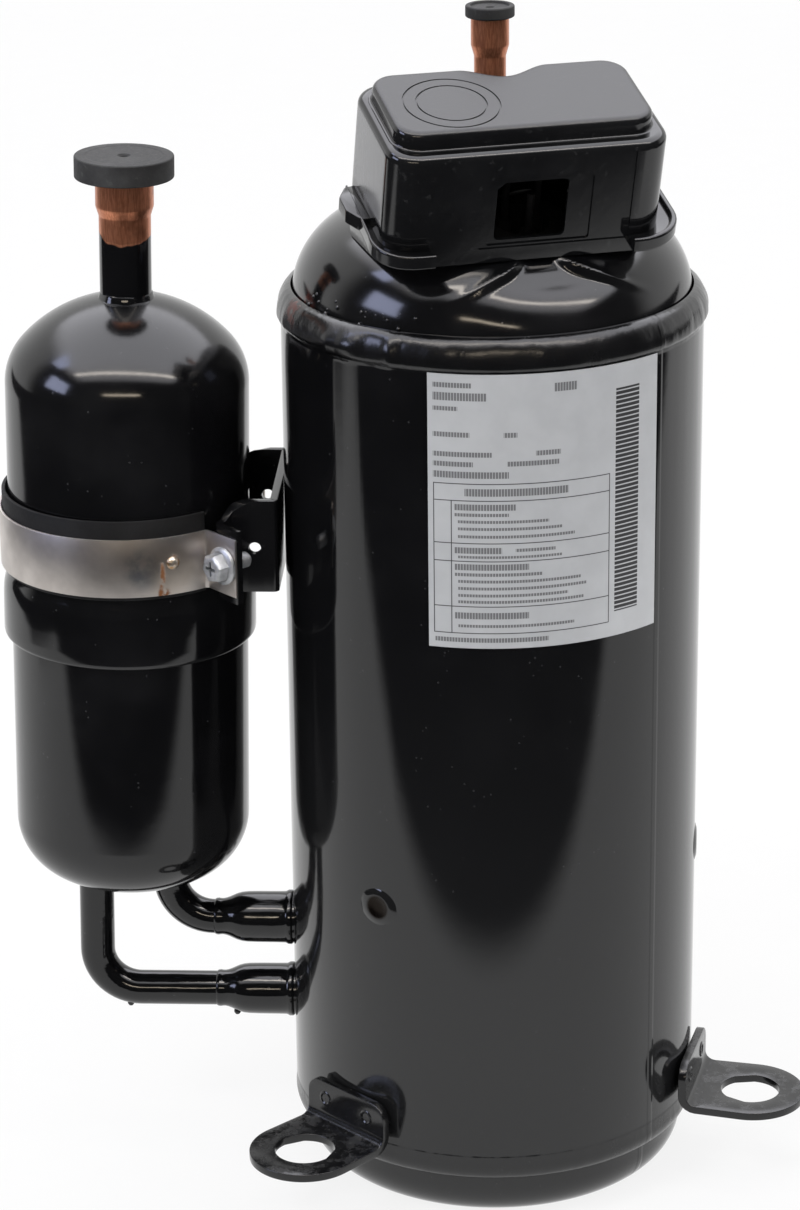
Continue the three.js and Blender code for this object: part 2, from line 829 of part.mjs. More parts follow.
function band() {
  const earEnd = bandMiddle + bandEarLength;
  const hookEnd = bracketThickness + bandThickness + seatGap * 2;
  const line = [
    earPoint(earEnd, -bandThickness / 2, 1),
    earPoint(bandMiddle + bandThickness, -bandThickness / 2, 1),
    ...round(bandMiddle, 360 - clampTurn - bandBendTurn, clampTurn + bandBendTurn, bandSteps),
    earPoint(bandMiddle + bandThickness, -bandThickness / 2, -1),
    earPoint(earEnd, -bandThickness / 2, -1),
    earPoint(earEnd, hookEnd - bandThickness / 2, -1),
    earPoint(earEnd - bandHookLip, hookEnd - bandThickness / 2, -1),
  ];
  const hole = rod(screwRadius + seatGap, -overrun, overrun, holeFacets)
    .rotateX(Math.PI / 2)
    .translate(screwX, 0, clampMiddle)
    .rotateZ(-radians(clampTurn));
  return solid(strip(line, bandThickness, bandBottom, bandTop)).subtract(solid(hole));
}

function bracket() {
  const half = bracketThickness / 2;
  const web = -vesselX - shellRadius - seatGap - half;
  const earEnd = bandMiddle + bandEarLength - bandThickness / 2 - seatGap;
  const earBase = bandOuter + seatGap + half + bandThickness;
  const armStart = Math.sqrt((bandOuter + seatGap + half) ** 2 - bracketArmY ** 2);
  const across = seatGap + half;
  const side = (s) => [earPoint(earEnd, across, s), earPoint(earBase, across, s)];
  const arm = (s) => [
    [armStart + half, -s * bracketArmY],
    [web - bracketCorner, -s * bracketArmY],
    [web - bracketCorner * bracketCornerShare, -s * (bracketArmY - bracketCorner * bracketCornerShare)],
    [web, -s * (bracketArmY - bracketCorner)],
  ];
  const ears = (s) =>
    solid(
      strip(
        [...side(s), arm(s)[0], [armStart + bracketThickness * 2, -s * bracketArmY]],
        bracketThickness,
        clampMiddle - bracketEarHeight / 2,
        clampMiddle + bracketEarHeight / 2,
      ),
    );
  let body = solid(strip([...arm(1), ...arm(-1).reverse()], bracketThickness, bracketBottom, bracketTop));
  for (const s of [1, -1]) {
    const hole = rod(bracketHoleRadius, -overrun, overrun, holeFacets)
      .rotateX(Math.PI / 2)
      .translate(web - bracketHoleInset, -s * bracketArmY, clampMiddle + bracketThickness);
    body = body.add(ears(s)).subtract(solid(hole));
  }
  const tapped = rod(screwRadius + seatGap, -overrun, bracketThickness + overrun, holeFacets)
    .rotateX(-Math.PI / 2)
    .translate(screwX, 0, clampMiddle)
    .rotateZ(-radians(clampTurn));
  return body.subtract(solid(tapped));
}

// Screw along +Z with its flange's seat at zero, turned into place by the group that holds it
function clampScrew() {
  const flangeTop = screwFlangeThickness;
  const headRadius = screwHeadAcross / 2 / Math.cos(Math.PI / 6);
  const tipRadius = screwRadius - screwTip;
  const shankTop = screwFlangeThickness / 2;
  const shank = turned(
    [
      [0, -screwLength],
      [tipRadius, -screwLength],
      [screwRadius, screwTip - screwLength],
      [screwRadius, shankTop],
      [0, shankTop],
    ],
    holeFacets,
  );
  const flange = rod(screwFlangeRadius, 0, flangeTop);
  const head = rod(headRadius, flangeTop / 2, flangeTop + screwHeadHeight, hexSides);
  const top = flangeTop + screwHeadHeight;
  const { arm, reach, depth } = screwRecess;
  const slot = block([-reach, reach], [-arm / 2, arm / 2], [top - depth, top + overrun]);
  const cross = slot.clone().rotateZ(Math.PI / 2);
  return joined(solid(shank), solid(flange), solid(head)).subtract(solid(slot)).subtract(solid(cross));
}

function accumulator() {
  const screw = piece("clamp_screw", clampScrew(), zinc);
  screw.rotation.set(Math.PI / 2, 0, 0);
  screw.position.set(screwX, -bandThickness - seatGap, clampMiddle);
  const screwPlace = group(screw);
  screwPlace.rotation.z = -radians(clampTurn);
  const vessel = group(
    piece("accumulator_upper_shell", upperVessel(), enamel),
    piece("accumulator_lower_shell", lowerVessel(), enamel),
    piece("accumulator_screen", screen(), steel),
    piece("suction_inlet_pipe", inletPipe(), copper),
    piece("suction_plug", plug(inletPlug, inletFlareRadius - inletWall - seatGap, inletTop + seatGap), blackRubber),
  );
  vessel.rotation.y = radians(vesselLean);
  vessel.position.x = leanX(0);
  const clamp = group(
    piece("clamp_pad", clampPad(), blackRubber),
    piece("clamp_strap", band(), stainless),
    piece("accumulator_bracket", bracket(), enamel),
    screwPlace,
  );
  clamp.position.x = vesselX;
  return [vessel, clamp];
}

function pipework() {
  const made = [];
  for (const [level, lane] of Object.entries(pipeLanes)) {
    const height = level === "upper" ? lowerPipeHeight + pipeSpacing : lowerPipeHeight;
    made.push(piece(`outlet_pipe_${level}`, outletPipe(lane, height), enamel));
    made.push(piece(`suction_port_${level}`, port(height), enamel));
  }
  return made;
}

// Terminal: a steel cup with glassed-in pins, seated in the dome from above
function terminal() {
  const rimBottom = seatGap;
  const rimTop = seatGap + terminalThickness;
  let cup = solid(
    turned(
      [
        [0, -terminalCupDepth],
        [terminalCupRadius, -terminalCupDepth],
        [terminalCupRadius, rimBottom],
        [terminalRadius, rimBottom],
        [terminalRadius, rimTop],
        [terminalCupRadius - terminalThickness, rimTop],
        [terminalCupRadius - terminalThickness, terminalThickness - terminalCupDepth],
        [0, terminalThickness - terminalCupDepth],
      ],
      stubFacets,
    ),
  );
  const made = [];
  for (let k = 0; k < terminalPins; k += 1) {
    const turn = radians(frontTurn + (k * 360) / terminalPins);
    const [x, y] = [terminalPinReach * Math.cos(turn), terminalPinReach * Math.sin(turn)];
    const glass = rod(terminalBeadRadius, -terminalCupDepth - terminalBeadHeight, terminalThickness, pinFacets);
    const bore = rod(terminalPinRadius + seatGap, -terminalCupDepth * 2, terminalPinAbove, pinFacets);
    cup = cup.add(solid(glass.translate(x, y, 0))).subtract(solid(bore.translate(x, y, 0)));
    const pin = rod(terminalPinRadius, -terminalCupDepth - terminalPinBelow, terminalPinAbove, pinFacets);
    made.push(piece(`terminal_pin_${k + 1}`, solid(pin.translate(x, y, 0)), brass));
  }
  return [piece("terminal_body", cup, steel), ...made];
}

// Plan outline of the cover with round corners and the notch at the back, set in by a wall
function coverOutline(size, set, withNotch = true) {
  const [l, r, f, b] = [size.left + set, size.right - set, size.front + set, size.back - set];
  const corner = Math.max(size.corner - set, coverRound / 2);
  const shape = new THREE.Shape();
  shape.moveTo(l + corner, f);
  shape.absarc(r - corner, f + corner, corner, -Math.PI / 2, 0);
  shape.absarc(r - corner, b - corner, corner, 0, Math.PI / 2);
  if (withNotch) {
    const { left, right, deep, shoulderShare } = coverNotch;
    const middle = (left + right) / 2;
    shape.lineTo(right, b);
    shape.bezierCurveTo(
      right - (right - middle) * shoulderShare, b,
      middle + (right - middle) * shoulderShare, b - deep,
      middle, b - deep,
    );
    shape.bezierCurveTo(
      middle + (left - middle) * shoulderShare, b - deep,
      left - (left - middle) * shoulderShare, b,
      left, b,
    );
  }
  shape.absarc(l + corner, b - corner, corner, Math.PI / 2, Math.PI);
  shape.absarc(l + corner, f + corner, corner, Math.PI, 1.5 * Math.PI);
  return shape;
}

// A level of the cover with its top edge rounded over
function coverLevel(size, bottom) {
  const depth = size.top - coverRound - bottom + overrun;
  const shape = new THREE.ExtrudeGeometry(coverOutline(size, 0), {
    depth,
    curveSegments: arcSteps,
    bevelSize: coverRound,
    bevelOffset: -coverRound,
    bevelThickness: coverRound,
    bevelSegments: edgeSteps,
  });
  const whole = solid(shape.translate(0, 0, bottom - overrun));
  const big = shellRadius * 2;
  return whole.subtract(solid(block([-big, big], [-big, big], [-big, bottom])));
}

function coverRim() {
  const { width, bottom, top, left, right, front, back } = coverFlange;
  const ring = solid(plate(coverOutline(coverBox, -width, false), bottom, top));
  const through = [bottom - overrun, top + overrun];
  const hollow = solid(plate(coverOutline(coverBox, coverWall / 2, false), ...through));
  const frontGap = block([left, right], [-shellRadius, coverBox.front + coverWall / 2], through);
  const backGap = block([-shellRadius, shellRadius], [back, shellRadius], through);
  const { left: tip, right: root, middle, radius, thickness } = coverEar;
  const ear = new THREE.Shape();
  ear.moveTo(root, middle - radius);
  ear.lineTo(tip + radius / 2, middle - radius);
  ear.quadraticCurveTo(tip, middle - radius, tip, middle);
  ear.quadraticCurveTo(tip, middle + radius, root, middle + radius);
  const tab = solid(plate(ear, top - coverRound, top + thickness - coverRound / 2));
  return ring.subtract(hollow).subtract(solid(frontGap)).subtract(solid(backGap)).add(tab);
}

function coverHollow() {
  const low = plate(coverOutline(coverBox, coverWall), coverBottom - overrun, coverBox.top - coverWall, hollowSteps);
  const [bottom, top] = [coverBox.top - coverWall * 2, coverPlateau.top - coverWall];
  const high = plate(coverOutline(coverPlateau, coverWall), bottom, top, hollowSteps);
  return solid(low).add(solid(high));
}

// Hole for the cable through the front wall, in a panel that is set back a little
function coverFront() {
  const face = coverBox.front;
  const panel = block(
    [coverPanel.left, coverPanel.right],
    [face - overrun, face + coverPanel.depth],
    [coverPanel.bottom, coverPanel.top],
  );
  const { left, right, bottom, top, corner } = coverWindow;
  const shape = new THREE.Shape();
  shape.moveTo(left + corner, bottom);
  shape.absarc(right - corner, bottom + corner, corner, -Math.PI / 2, 0);
  shape.lineTo(right, top);
  shape.lineTo(left, top);
  shape.absarc(left + corner, bottom + corner, corner, Math.PI, 1.5 * Math.PI);
  const cut = plate(shape, -overrun / 2, coverWall + overrun / 2, hollowSteps);
  return solid(panel).add(solid(cut.rotateX(Math.PI / 2).translate(0, face + coverWall, 0)));
}

function coverDialGrooves() {
  const { u, v, outer, inner, groove, depth } = coverDial;
  const ring = (radius) => {
    const cut = tube(radius, radius - groove, coverPlateau.top - depth, coverPlateau.top + overrun, dialFacets);
    return solid(cut.translate(u, v, 0));
  };
  return ring(outer).add(ring(inner));
}

function terminalCover() {
  return coverLevel(coverBox, coverBottom)
    .add(coverLevel(coverPlateau, coverBox.top - coverRound * 2))
    .add(coverRim())
    .subtract(coverHollow())
    .subtract(coverFront())
    .subtract(coverDialGrooves());
}

function top() {
  const cover = piece("terminal_cover", terminalCover(), plastic);
  cover.position.set(coverShift.u, coverShift.v, 0);
  const seated = group(...terminal(), cover);
  seatFrame.decompose(seated.position, seated.quaternion, seated.scale);
  const seat = crownTop;
  const discharge = group(
    piece("discharge_pipe", dischargePipe(seat), copper),
    piece("discharge_plug", plug(outletPlug, outletFlareRadius - outletWall - seatGap, outletTop + seatGap), blackRubber),
  );
  discharge.position.set(outletX, outletY, 0);
  return [seated, discharge];
}

function ratingPlate() {
  const face = shellRadius + seatGap + plateThickness / 2;
  const line = round(face, frontTurn + plateTurns.left, frontTurn + plateTurns.right, plateSteps);
  return solid(strip(line, plateThickness, plateBottom, plateTop));
}

// Heights of the pump's stack, from the lower cylinder up and down
const lowerCylinderBottom = lowerPipeHeight - cylinderHeight / 2;
const lowerCylinderTop = lowerPipeHeight + cylinderHeight / 2;
const upperCylinderBottom = lowerCylinderBottom + pipeSpacing;
const upperCylinderTop = lowerCylinderTop + pipeSpacing;
const mainFlangeBottom = upperCylinderTop + seatGap;
const mainFlangeTop = mainFlangeBottom + bearingThickness;
const subFlangeTop = lowerCylinderBottom - seatGap;
const subFlangeBottom = subFlangeTop - bearingThickness;

function boltHoles(bottom, top) {
  return boltTurns.map((turn) =>
    solid(rod(boltRadius + seatGap, bottom, top, holeFacets).translate(boltReach, 0, 0).rotateZ(radians(turn))),
  );
}

function cutBolts(shape, bottom, top) {
  return boltHoles(bottom - overrun, top + overrun).reduce((rest, hole) => rest.subtract(hole), shape);
}

function cylinder(height) {
  const [bottom, top] = [height - cylinderHeight / 2, height + cylinderHeight / 2];
  const slotEnd = boreRadius + vaneLength;
  const slotHalf = vaneThickness / 2 + seatGap;
  const slot = block([boreRadius - overrun, slotEnd], [-slotHalf, slotHalf], [bottom - overrun, top + overrun]);
  const springBore = rod(springBoreRadius, slotEnd - overrun, cylinderRadius + overrun, holeFacets)
    .rotateY(Math.PI / 2)
    .translate(0, 0, height);
  const suction = rod(pipeRadius + seatGap, boreRadius + overrun * 2, cylinderRadius + overrun, holeFacets)
    .rotateY(-Math.PI / 2)
    .translate(0, 0, height);
  const port = rod(pipeRadius - pipeWall, boreRadius - overrun, pumpPortInner + overrun, holeFacets)
    .rotateY(-Math.PI / 2)
    .translate(0, 0, height);
  const body = solid(tube(cylinderRadius, boreRadius, bottom, top, pumpFacets))
    .subtract(solid(slot.rotateZ(radians(vaneTurn))))
    .subtract(solid(springBore.rotateZ(radians(vaneTurn))))
    .subtract(solid(suction))
    .subtract(solid(port));
  return cutBolts(body, bottom, top);
}

function middlePlate() {
  const [bottom, top] = [lowerCylinderTop + seatGap, upperCylinderBottom - seatGap];
  return cutBolts(solid(tube(cylinderRadius, rollerBore, bottom, top, pumpFacets)), bottom, top);
}

// Plate that closes the pump on top and is welded into the shell by its rim
function mainBearing() {
  const edge = shellBore - seatGap;
  const body = solid(
    turned(
      [
        [shaftRadius + seatGap, mainFlangeBottom],
        [edge - overrun, mainFlangeBottom],
        [edge, mainFlangeBottom + overrun],
        [edge, bearingRimTop],
        [bearingRimInner, bearingRimTop],
        [bearingRimInner, mainFlangeTop],
        [mainHubRadius, mainFlangeTop],
        [mainHubRadius, mainHubTop],
        [shaftRadius + seatGap, mainHubTop],
      ],
      pumpFacets,
    ),
  );
  const discharge = rod(dischargeHoleRadius, mainFlangeBottom - overrun, mainFlangeTop + overrun, holeFacets)
    .translate(dischargeReach, 0, 0)
    .rotateZ(radians(dischargeTurn));
  return cutBolts(body, mainFlangeBottom, mainFlangeTop).subtract(solid(discharge));
}

function subBearing() {
  const body = solid(
    turned(
      [
        [subShaftRadius + seatGap, subHubBottom],
        [subHubRadius, subHubBottom],
        [subHubRadius, subFlangeBottom],
        [subFlangeRadius, subFlangeBottom],
        [subFlangeRadius, subFlangeTop],
        [subShaftRadius + seatGap, subFlangeTop],
      ],
      pumpFacets,
    ),
  );
  const discharge = rod(dischargeHoleRadius, subFlangeBottom - overrun, subFlangeTop + overrun, holeFacets)
    .translate(dischargeReach, 0, 0)
    .rotateZ(radians(dischargeTurn));
  return cutBolts(body, subFlangeBottom, subFlangeTop).subtract(solid(discharge));
}

function roller(height) {
  const half = cylinderHeight / 2 - seatGap;
  return solid(tube(rollerRadius, rollerBore, height - half, height + half, pumpFacets));
}

// Vane, drawn along +X with its rounded tip at the bore, where it is fully drawn back
function vane(height) {
  const half = cylinderHeight / 2 - seatGap;
  const tip = boreRadius + seatGap;
  const shape = new THREE.Shape();
  shape.moveTo(tip + vaneThickness / 2, vaneThickness / 2);
  shape.absarc(tip + vaneThickness / 2, 0, vaneThickness / 2, Math.PI / 2, 1.5 * Math.PI);
  shape.lineTo(boreRadius + vaneLength - seatGap * 2, -vaneThickness / 2);
  shape.lineTo(boreRadius + vaneLength - seatGap * 2, vaneThickness / 2);
  return solid(plate(shape, height - half, height + half).rotateZ(radians(vaneTurn)));
}

class Helix extends THREE.Curve {
  constructor(radius, pitch, turns) {
    super();
    Object.assign(this, { radius, pitch, turns });
  }
  getPoint(t) {
    const turn = 2 * Math.PI * this.turns * t;
    return new THREE.Vector3(this.pitch * this.turns * t, this.radius * Math.cos(turn), this.radius * Math.sin(turn));
  }
}

// Spring behind the vane, in its bore from the vane's back to the cylinder's outside
function vaneSpring(height) {
  const start = boreRadius + vaneLength;
  const length = shellBore - seatGap * 2 - springWire - start;
  const line = new Helix(springRadius, length / springTurns, springTurns);
  const coil = swept(line, springTurns * springSteps, springWire, 0, wireFacets);
  return solid(coil.translate(start + springWire / 2, 0, height).rotateZ(radians(vaneTurn)));
}

// Reed and its stop over a discharge hole; side 1 is above a face, -1 below it
function reedPiece(face, side) {
  const near = face + side * reed.gap;
  const far = near + side * reed.thickness;
  const across = [dischargeReach - reed.width / 2, dischargeReach + reed.width / 2];
  const shape = block(across, [reed.tip - reed.length, reed.tip], [Math.min(near, far), Math.max(near, far)]);
  return solid(shape.rotateZ(radians(dischargeTurn)));
}

function retainerPiece(face, side) {
  const root = reed.tip - reed.length;
  const start = reed.gap * 2 + reed.thickness;
  const rise = [
    [root, start],
    [root + reed.root, start],
    [reed.tip, start + retainer.rise],
    [reed.tip, start + retainer.rise + retainer.thickness],
    [root + reed.root, start + retainer.thickness],
    [root, start + retainer.thickness],
  ].map(([along, up]) => [along, side * up]);
  const shape = new THREE.ExtrudeGeometry(outline(rise), { depth: reed.width, bevelEnabled: false });
  shape.rotateX(Math.PI / 2).rotateZ(Math.PI / 2).translate(dischargeReach - reed.width / 2, 0, face);
  return solid(shape.rotateZ(radians(dischargeTurn)));
}

// Muffler can round a hub, open to the flange that it is bolted to
function mufflerCan(face, side, hub) {
  const { wall, radius, height, portRadius: hole, portReach } = muffler;
  const at = (z) => face + side * (seatGap + z);
  const can = solid(
    turned(
      [
        [radius + wall, at(0)],
        [radius + wall, at(height - wall * 2)],
        [radius - wall, at(height)],
        [hub + seatGap, at(height)],
        [hub + seatGap, at(height - wall)],
        [radius - wall, at(height - wall)],
        [radius, at(height - wall * 3)],
        [radius, at(0)],
      ],
      stubFacets,
    ),
  );
  const outlet = rod(hole, -height, height, holeFacets)
    .translate(portReach, 0, at(height))
    .rotateZ(radians(dischargeTurn + 180));
  const ends = [at(0), at(height * 2)].sort((low, high) => low - high);
  return cutBolts(can.subtract(solid(outlet)), ...ends);
}

function pumpBolt(turn) {
  const seat = mainFlangeTop + seatGap * 2 + muffler.height;
  const top = seat + boltHeadHeight;
  const shank = rod(boltRadius, subFlangeBottom, top - boltHeadHeight / 2, holeFacets);
  const head = rod(boltHeadRadius, seat, top, hexSides);
  const made = solid(shank).add(solid(head));
  const bolt = piece(`pump_bolt_${boltTurns.indexOf(turn) + 1}`, made, steel);
  bolt.position.set(boltReach * Math.cos(radians(turn)), boltReach * Math.sin(radians(turn)), 0);
  return bolt;
}

function crankshaft() {
  const half = cylinderHeight / 2 - eccentricInset;
  const lower = lowerPipeHeight;
  const upper = lowerPipeHeight + pipeSpacing;
  const throwAt = (height, side) =>
    solid(
      rod(eccentricRadius, height - half, height + half, pumpFacets)
        .translate(side * eccentricity, 0, 0)
        .rotateZ(radians(crankTurn)),
    );
  const journal = solid(rod(shaftRadius, lower, shaftTop, shaftFacets));
  const tail = solid(rod(subShaftRadius, shaftBottom, upper, shaftFacets));
  const bore = solid(rod(shaftBore, shaftBottom - overrun, upper, holeFacets));
  return joined(journal, tail, throwAt(lower, -1), throwAt(upper, 1)).subtract(bore);
}

function pump() {
  const levels = { lower: lowerPipeHeight, upper: lowerPipeHeight + pipeSpacing };
  const made = [
    piece("main_bearing", mainBearing(), castIron),
    piece("sub_bearing", subBearing(), castIron),
    piece("middle_plate", middlePlate(), castIron),
    piece("crankshaft", crankshaft(), steel),
    piece("discharge_reed_upper", reedPiece(mainFlangeTop, 1), steel),
    piece("discharge_reed_lower", reedPiece(subFlangeBottom, -1), steel),
    piece("valve_retainer_upper", retainerPiece(mainFlangeTop, 1), steel),
    piece("valve_retainer_lower", retainerPiece(subFlangeBottom, -1), steel),
    piece("muffler_upper", mufflerCan(mainFlangeTop, 1, mainHubRadius), steel),
    piece("muffler_lower", mufflerCan(subFlangeBottom, -1, subHubRadius), steel),
    ...boltTurns.map(pumpBolt),
  ];
  for (const [level, height] of Object.entries(levels)) {
    const side = level === "upper" ? 1 : -1;
    const turn = radians(crankTurn);
    const ring = piece(`roller_${level}`, roller(height), steel);
    ring.position.set(side * eccentricity * Math.cos(turn), side * eccentricity * Math.sin(turn), 0);
    made.push(ring);
    made.push(piece(`cylinder_${level}`, cylinder(height), castIron));
    made.push(piece(`vane_${level}`, vane(height), steel));
    made.push(piece(`vane_spring_${level}`, vaneSpring(height), steel));
  }
  return made;
}

// A slot's outline from the bore out, for one slot at an angle, grown by a gap
function slotPoints(turn, grow, withMouth) {
  const pitch = (2 * Math.PI) / statorSlots;
  const inner = slotInner + (withMouth ? 0 : seatGap) + grow;
  const outer = slotOuter - grow;
  const at = (r, a) => [r * Math.cos(turn + a), r * Math.sin(turn + a)];
  const innerHalf = (pitch * slotShareInner) / 2 - grow / inner;
  const outerHalf = (pitch * slotShareOuter) / 2 - grow / outer;
  const mouth = slotMouth / 2 / statorBore;
  const body = [at(inner, -innerHalf), at(outer, -outerHalf), at(outer, 0), at(outer, outerHalf), at(inner, innerHalf)];
  if (!withMouth) return body;
  return [at(statorBore, -mouth), at(inner, -mouth), ...body, at(inner, mouth), at(statorBore, mouth)];
}

function statorCore() {
  const edge = shellBore - seatGap;
  const rim = [];
  const notchHalf = coreNotchHalf / edge / 2;
  for (let k = 0; k < coreNotches; k += 1) {
    const turn = ((k + 0.5) * 2 * Math.PI) / coreNotches;
    const next = turn + (2 * Math.PI) / coreNotches;
    rim.push([(edge - coreNotchDepth) * Math.cos(turn - notchHalf), (edge - coreNotchDepth) * Math.sin(turn - notchHalf)]);
    rim.push([(edge - coreNotchDepth) * Math.cos(turn + notchHalf), (edge - coreNotchDepth) * Math.sin(turn + notchHalf)]);
    for (let i = 0; i <= rimSteps; i += 1) {
      const a = turn + notchHalf + ((next - turn - 2 * notchHalf) * i) / rimSteps;
      rim.push([edge * Math.cos(a), edge * Math.sin(a)]);
    }
  }
  const bore = [];
  for (let k = 0; k < statorSlots; k += 1) {
    const turn = (k * 2 * Math.PI) / statorSlots;
    bore.push(...slotPoints(turn, 0, true));
    const middle = turn + Math.PI / statorSlots;
    bore.push([statorBore * Math.cos(middle), statorBore * Math.sin(middle)]);
  }
  const shape = outline(rim);
  shape.holes.push(new THREE.Path(bore.map(([x, y]) => new THREE.Vector2(x, y))));
  return solid(plate(shape, statorBottom, statorBottom + statorHeight));
}

// Winding: the coil sides in the slots and the end turns above and below the core
function winding() {
  const ends = [
    [statorBottom - seatGap - windingHeight, statorBottom - seatGap],
    [statorBottom + statorHeight + seatGap, statorBottom + statorHeight + seatGap + windingHeight],
  ];
  let whole = null;
  for (const [bottom, top] of ends) {
    const soft = windingRound;
    const rounded = [
      [windingInner, bottom + soft],
      [windingInner + soft, bottom],
      [windingOuter - soft, bottom],
      [windingOuter, bottom + soft],
      [windingOuter, top - soft],
      [windingOuter - soft, top],
      [windingInner + soft, top],
      [windingInner, top - soft],
    ];
    const ring = solid(turned(rounded, windingFacets));
    whole = whole ? whole.add(ring) : ring;
  }
  for (let k = 0; k < statorSlots; k += 1) {
    const turn = (k * 2 * Math.PI) / statorSlots;
    const section = outline(slotPoints(turn, seatGap, false));
    const bar = plate(section, ends[0][1] - windingHeight / 2, ends[1][0] + windingHeight / 2);
    whole = whole.add(solid(bar));
  }
  return whole;
}

function balanceWeight(bottom, side) {
  const shape = new THREE.Shape();
  const half = radians(balanceAngle) / 2;
  shape.absarc(0, 0, balanceRadius, -half, half);
  shape.absarc(0, 0, balanceInner, half, -half, true);
  const turn = radians(crankTurn) + (side > 0 ? 0 : Math.PI);
  return solid(plate(shape, bottom, bottom + balanceHeight, balanceSteps).rotateZ(turn));
}

// Lead bundle from the upper end turns to the inner ends of the terminal pins
function leads() {
  const seat = new THREE.Vector3(0, 0, -terminalCupDepth - terminalPinBelow - leadRadius).applyMatrix4(seatFrame);
  const coilTop = statorBottom + statorHeight + seatGap * 2 + windingHeight;
  const coilReach = (windingInner + windingOuter) / 2;
  const turn = radians(frontTurn + seatTurn);
  const foot = new THREE.Vector3(coilReach * Math.cos(turn), coilReach * Math.sin(turn), coilTop);
  const knee = foot.clone().setZ((foot.z + seat.z) / 2);
  const [rise, turnIn] = [foot.clone().lerp(knee, leadKneeShare), knee.clone().lerp(seat, leadKneeShare)];
  const line = new THREE.CatmullRomCurve3([foot, rise, turnIn, seat]);
  return solid(swept(line, leadSteps, leadRadius, 0, pinFacets));
}

function motor() {
  const rotorBottom = statorBottom - rotorOverhang;
  const rotorTop = statorBottom + statorHeight + rotorOverhang;
  return [
    piece("stator_core", statorCore(), coreSteel),
    piece("stator_winding", winding(), magnetWire),
    piece("rotor_core", solid(tube(rotorRadius, shaftRadius + seatGap, rotorBottom, rotorTop, pumpFacets)), coreSteel),
    piece("balance_weight_upper", balanceWeight(rotorTop + seatGap, 1), brass),
    piece("balance_weight_lower", balanceWeight(rotorBottom - seatGap - balanceHeight, -1), brass),
    piece("winding_leads", leads(), blackRubber),
  ];
}

const compressor = group(
  piece("shell_body", shellTube(), enamel),
  piece("top_cap", topCap(), enamel),
  piece("bottom_cap", bottomCap(), enamel),
  piece("rating_plate", ratingPlate(), silverPlate),
  ...feet(),
  ...accumulator(),
  ...pipework(),
  ...top(),
  ...pump(),
  ...motor(),
);

export default compressor;
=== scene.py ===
import bmesh
import bpy
from math import acos, asin, atan2, cos, exp, hypot, pi, radians, sin, sqrt, tan
from mathutils import Matrix, Vector


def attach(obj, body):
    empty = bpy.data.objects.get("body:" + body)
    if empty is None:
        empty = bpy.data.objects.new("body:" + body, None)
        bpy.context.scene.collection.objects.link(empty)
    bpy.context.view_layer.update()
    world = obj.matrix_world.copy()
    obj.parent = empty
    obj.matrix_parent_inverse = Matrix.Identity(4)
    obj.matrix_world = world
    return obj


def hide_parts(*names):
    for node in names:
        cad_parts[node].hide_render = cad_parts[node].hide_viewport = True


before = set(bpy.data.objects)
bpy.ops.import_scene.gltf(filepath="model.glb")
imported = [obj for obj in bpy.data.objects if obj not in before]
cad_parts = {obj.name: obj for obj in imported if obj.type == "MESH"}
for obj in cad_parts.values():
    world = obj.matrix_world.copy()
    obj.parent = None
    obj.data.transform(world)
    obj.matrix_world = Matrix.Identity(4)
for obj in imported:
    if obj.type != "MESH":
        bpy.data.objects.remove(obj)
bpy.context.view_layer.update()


# Pump castings: the two cylinders, the plate between them and the bearings at each end.
# They are grey iron, machined flat and bored, with the turning marks left on. They stay as
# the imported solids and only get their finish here.
def operator(operation, swapped=False):
    def made(self, other):
        first, second = (other, self) if swapped else (self, other)
        return self.tree.node("ShaderNodeMath", {0: first, 1: second}, operation=operation)

    return made


class Value:
    """A socket of a node tree; sums on it add the tree's own Math nodes."""

    def __init__(self, tree, socket):
        self.tree, self.socket = tree, socket

    def math(self, operation, *others):
        return self.tree.node("ShaderNodeMath", dict(enumerate((self, *others))), operation=operation)

    __add__ = __radd__ = operator("ADD")
    __mul__ = __rmul__ = operator("MULTIPLY")
    __sub__, __rsub__ = operator("SUBTRACT"), operator("SUBTRACT", True)
    __truediv__, __rtruediv__ = operator("DIVIDE"), operator("DIVIDE", True)


class Tree:
    """A node tree, with one way to add a node of any kind to it."""

    def __init__(self, tree):
        self.tree = tree

    def node(self, kind, inputs=None, output=0, **settings):
        made = self.tree.nodes.new(kind)
        for key, value in settings.items():
            setattr(made, key, value)
        for key, value in (inputs or {}).items():
            if isinstance(value, Value):
                self.tree.links.new(value.socket, made.inputs[key])
            else:
                made.inputs[key].default_value = value
        return Value(self, made.outputs[output]) if made.outputs else None

    def between(self, value, low, high):
        """0 below low and 1 above high, smoothly; high may be the lower of the two."""
        inputs = {"Value": value, "From Min": low, "From Max": high}
        return self.node("ShaderNodeMapRange", inputs, interpolation_type="SMOOTHSTEP")

    def span(self, value, low, high, soft):
        """1 from low to high, falling to 0 over a soft edge outside them."""
        return self.between(value, low - soft, low) * self.between(value, high + soft, high)

    def mixed(self, share, low, high):
        low, high = [c if isinstance(c, Value) else (*c, 1.0) for c in (low, high)]
        return self.node("ShaderNodeMix", {0: share, 6: low, 7: high}, 2, data_type="RGBA")


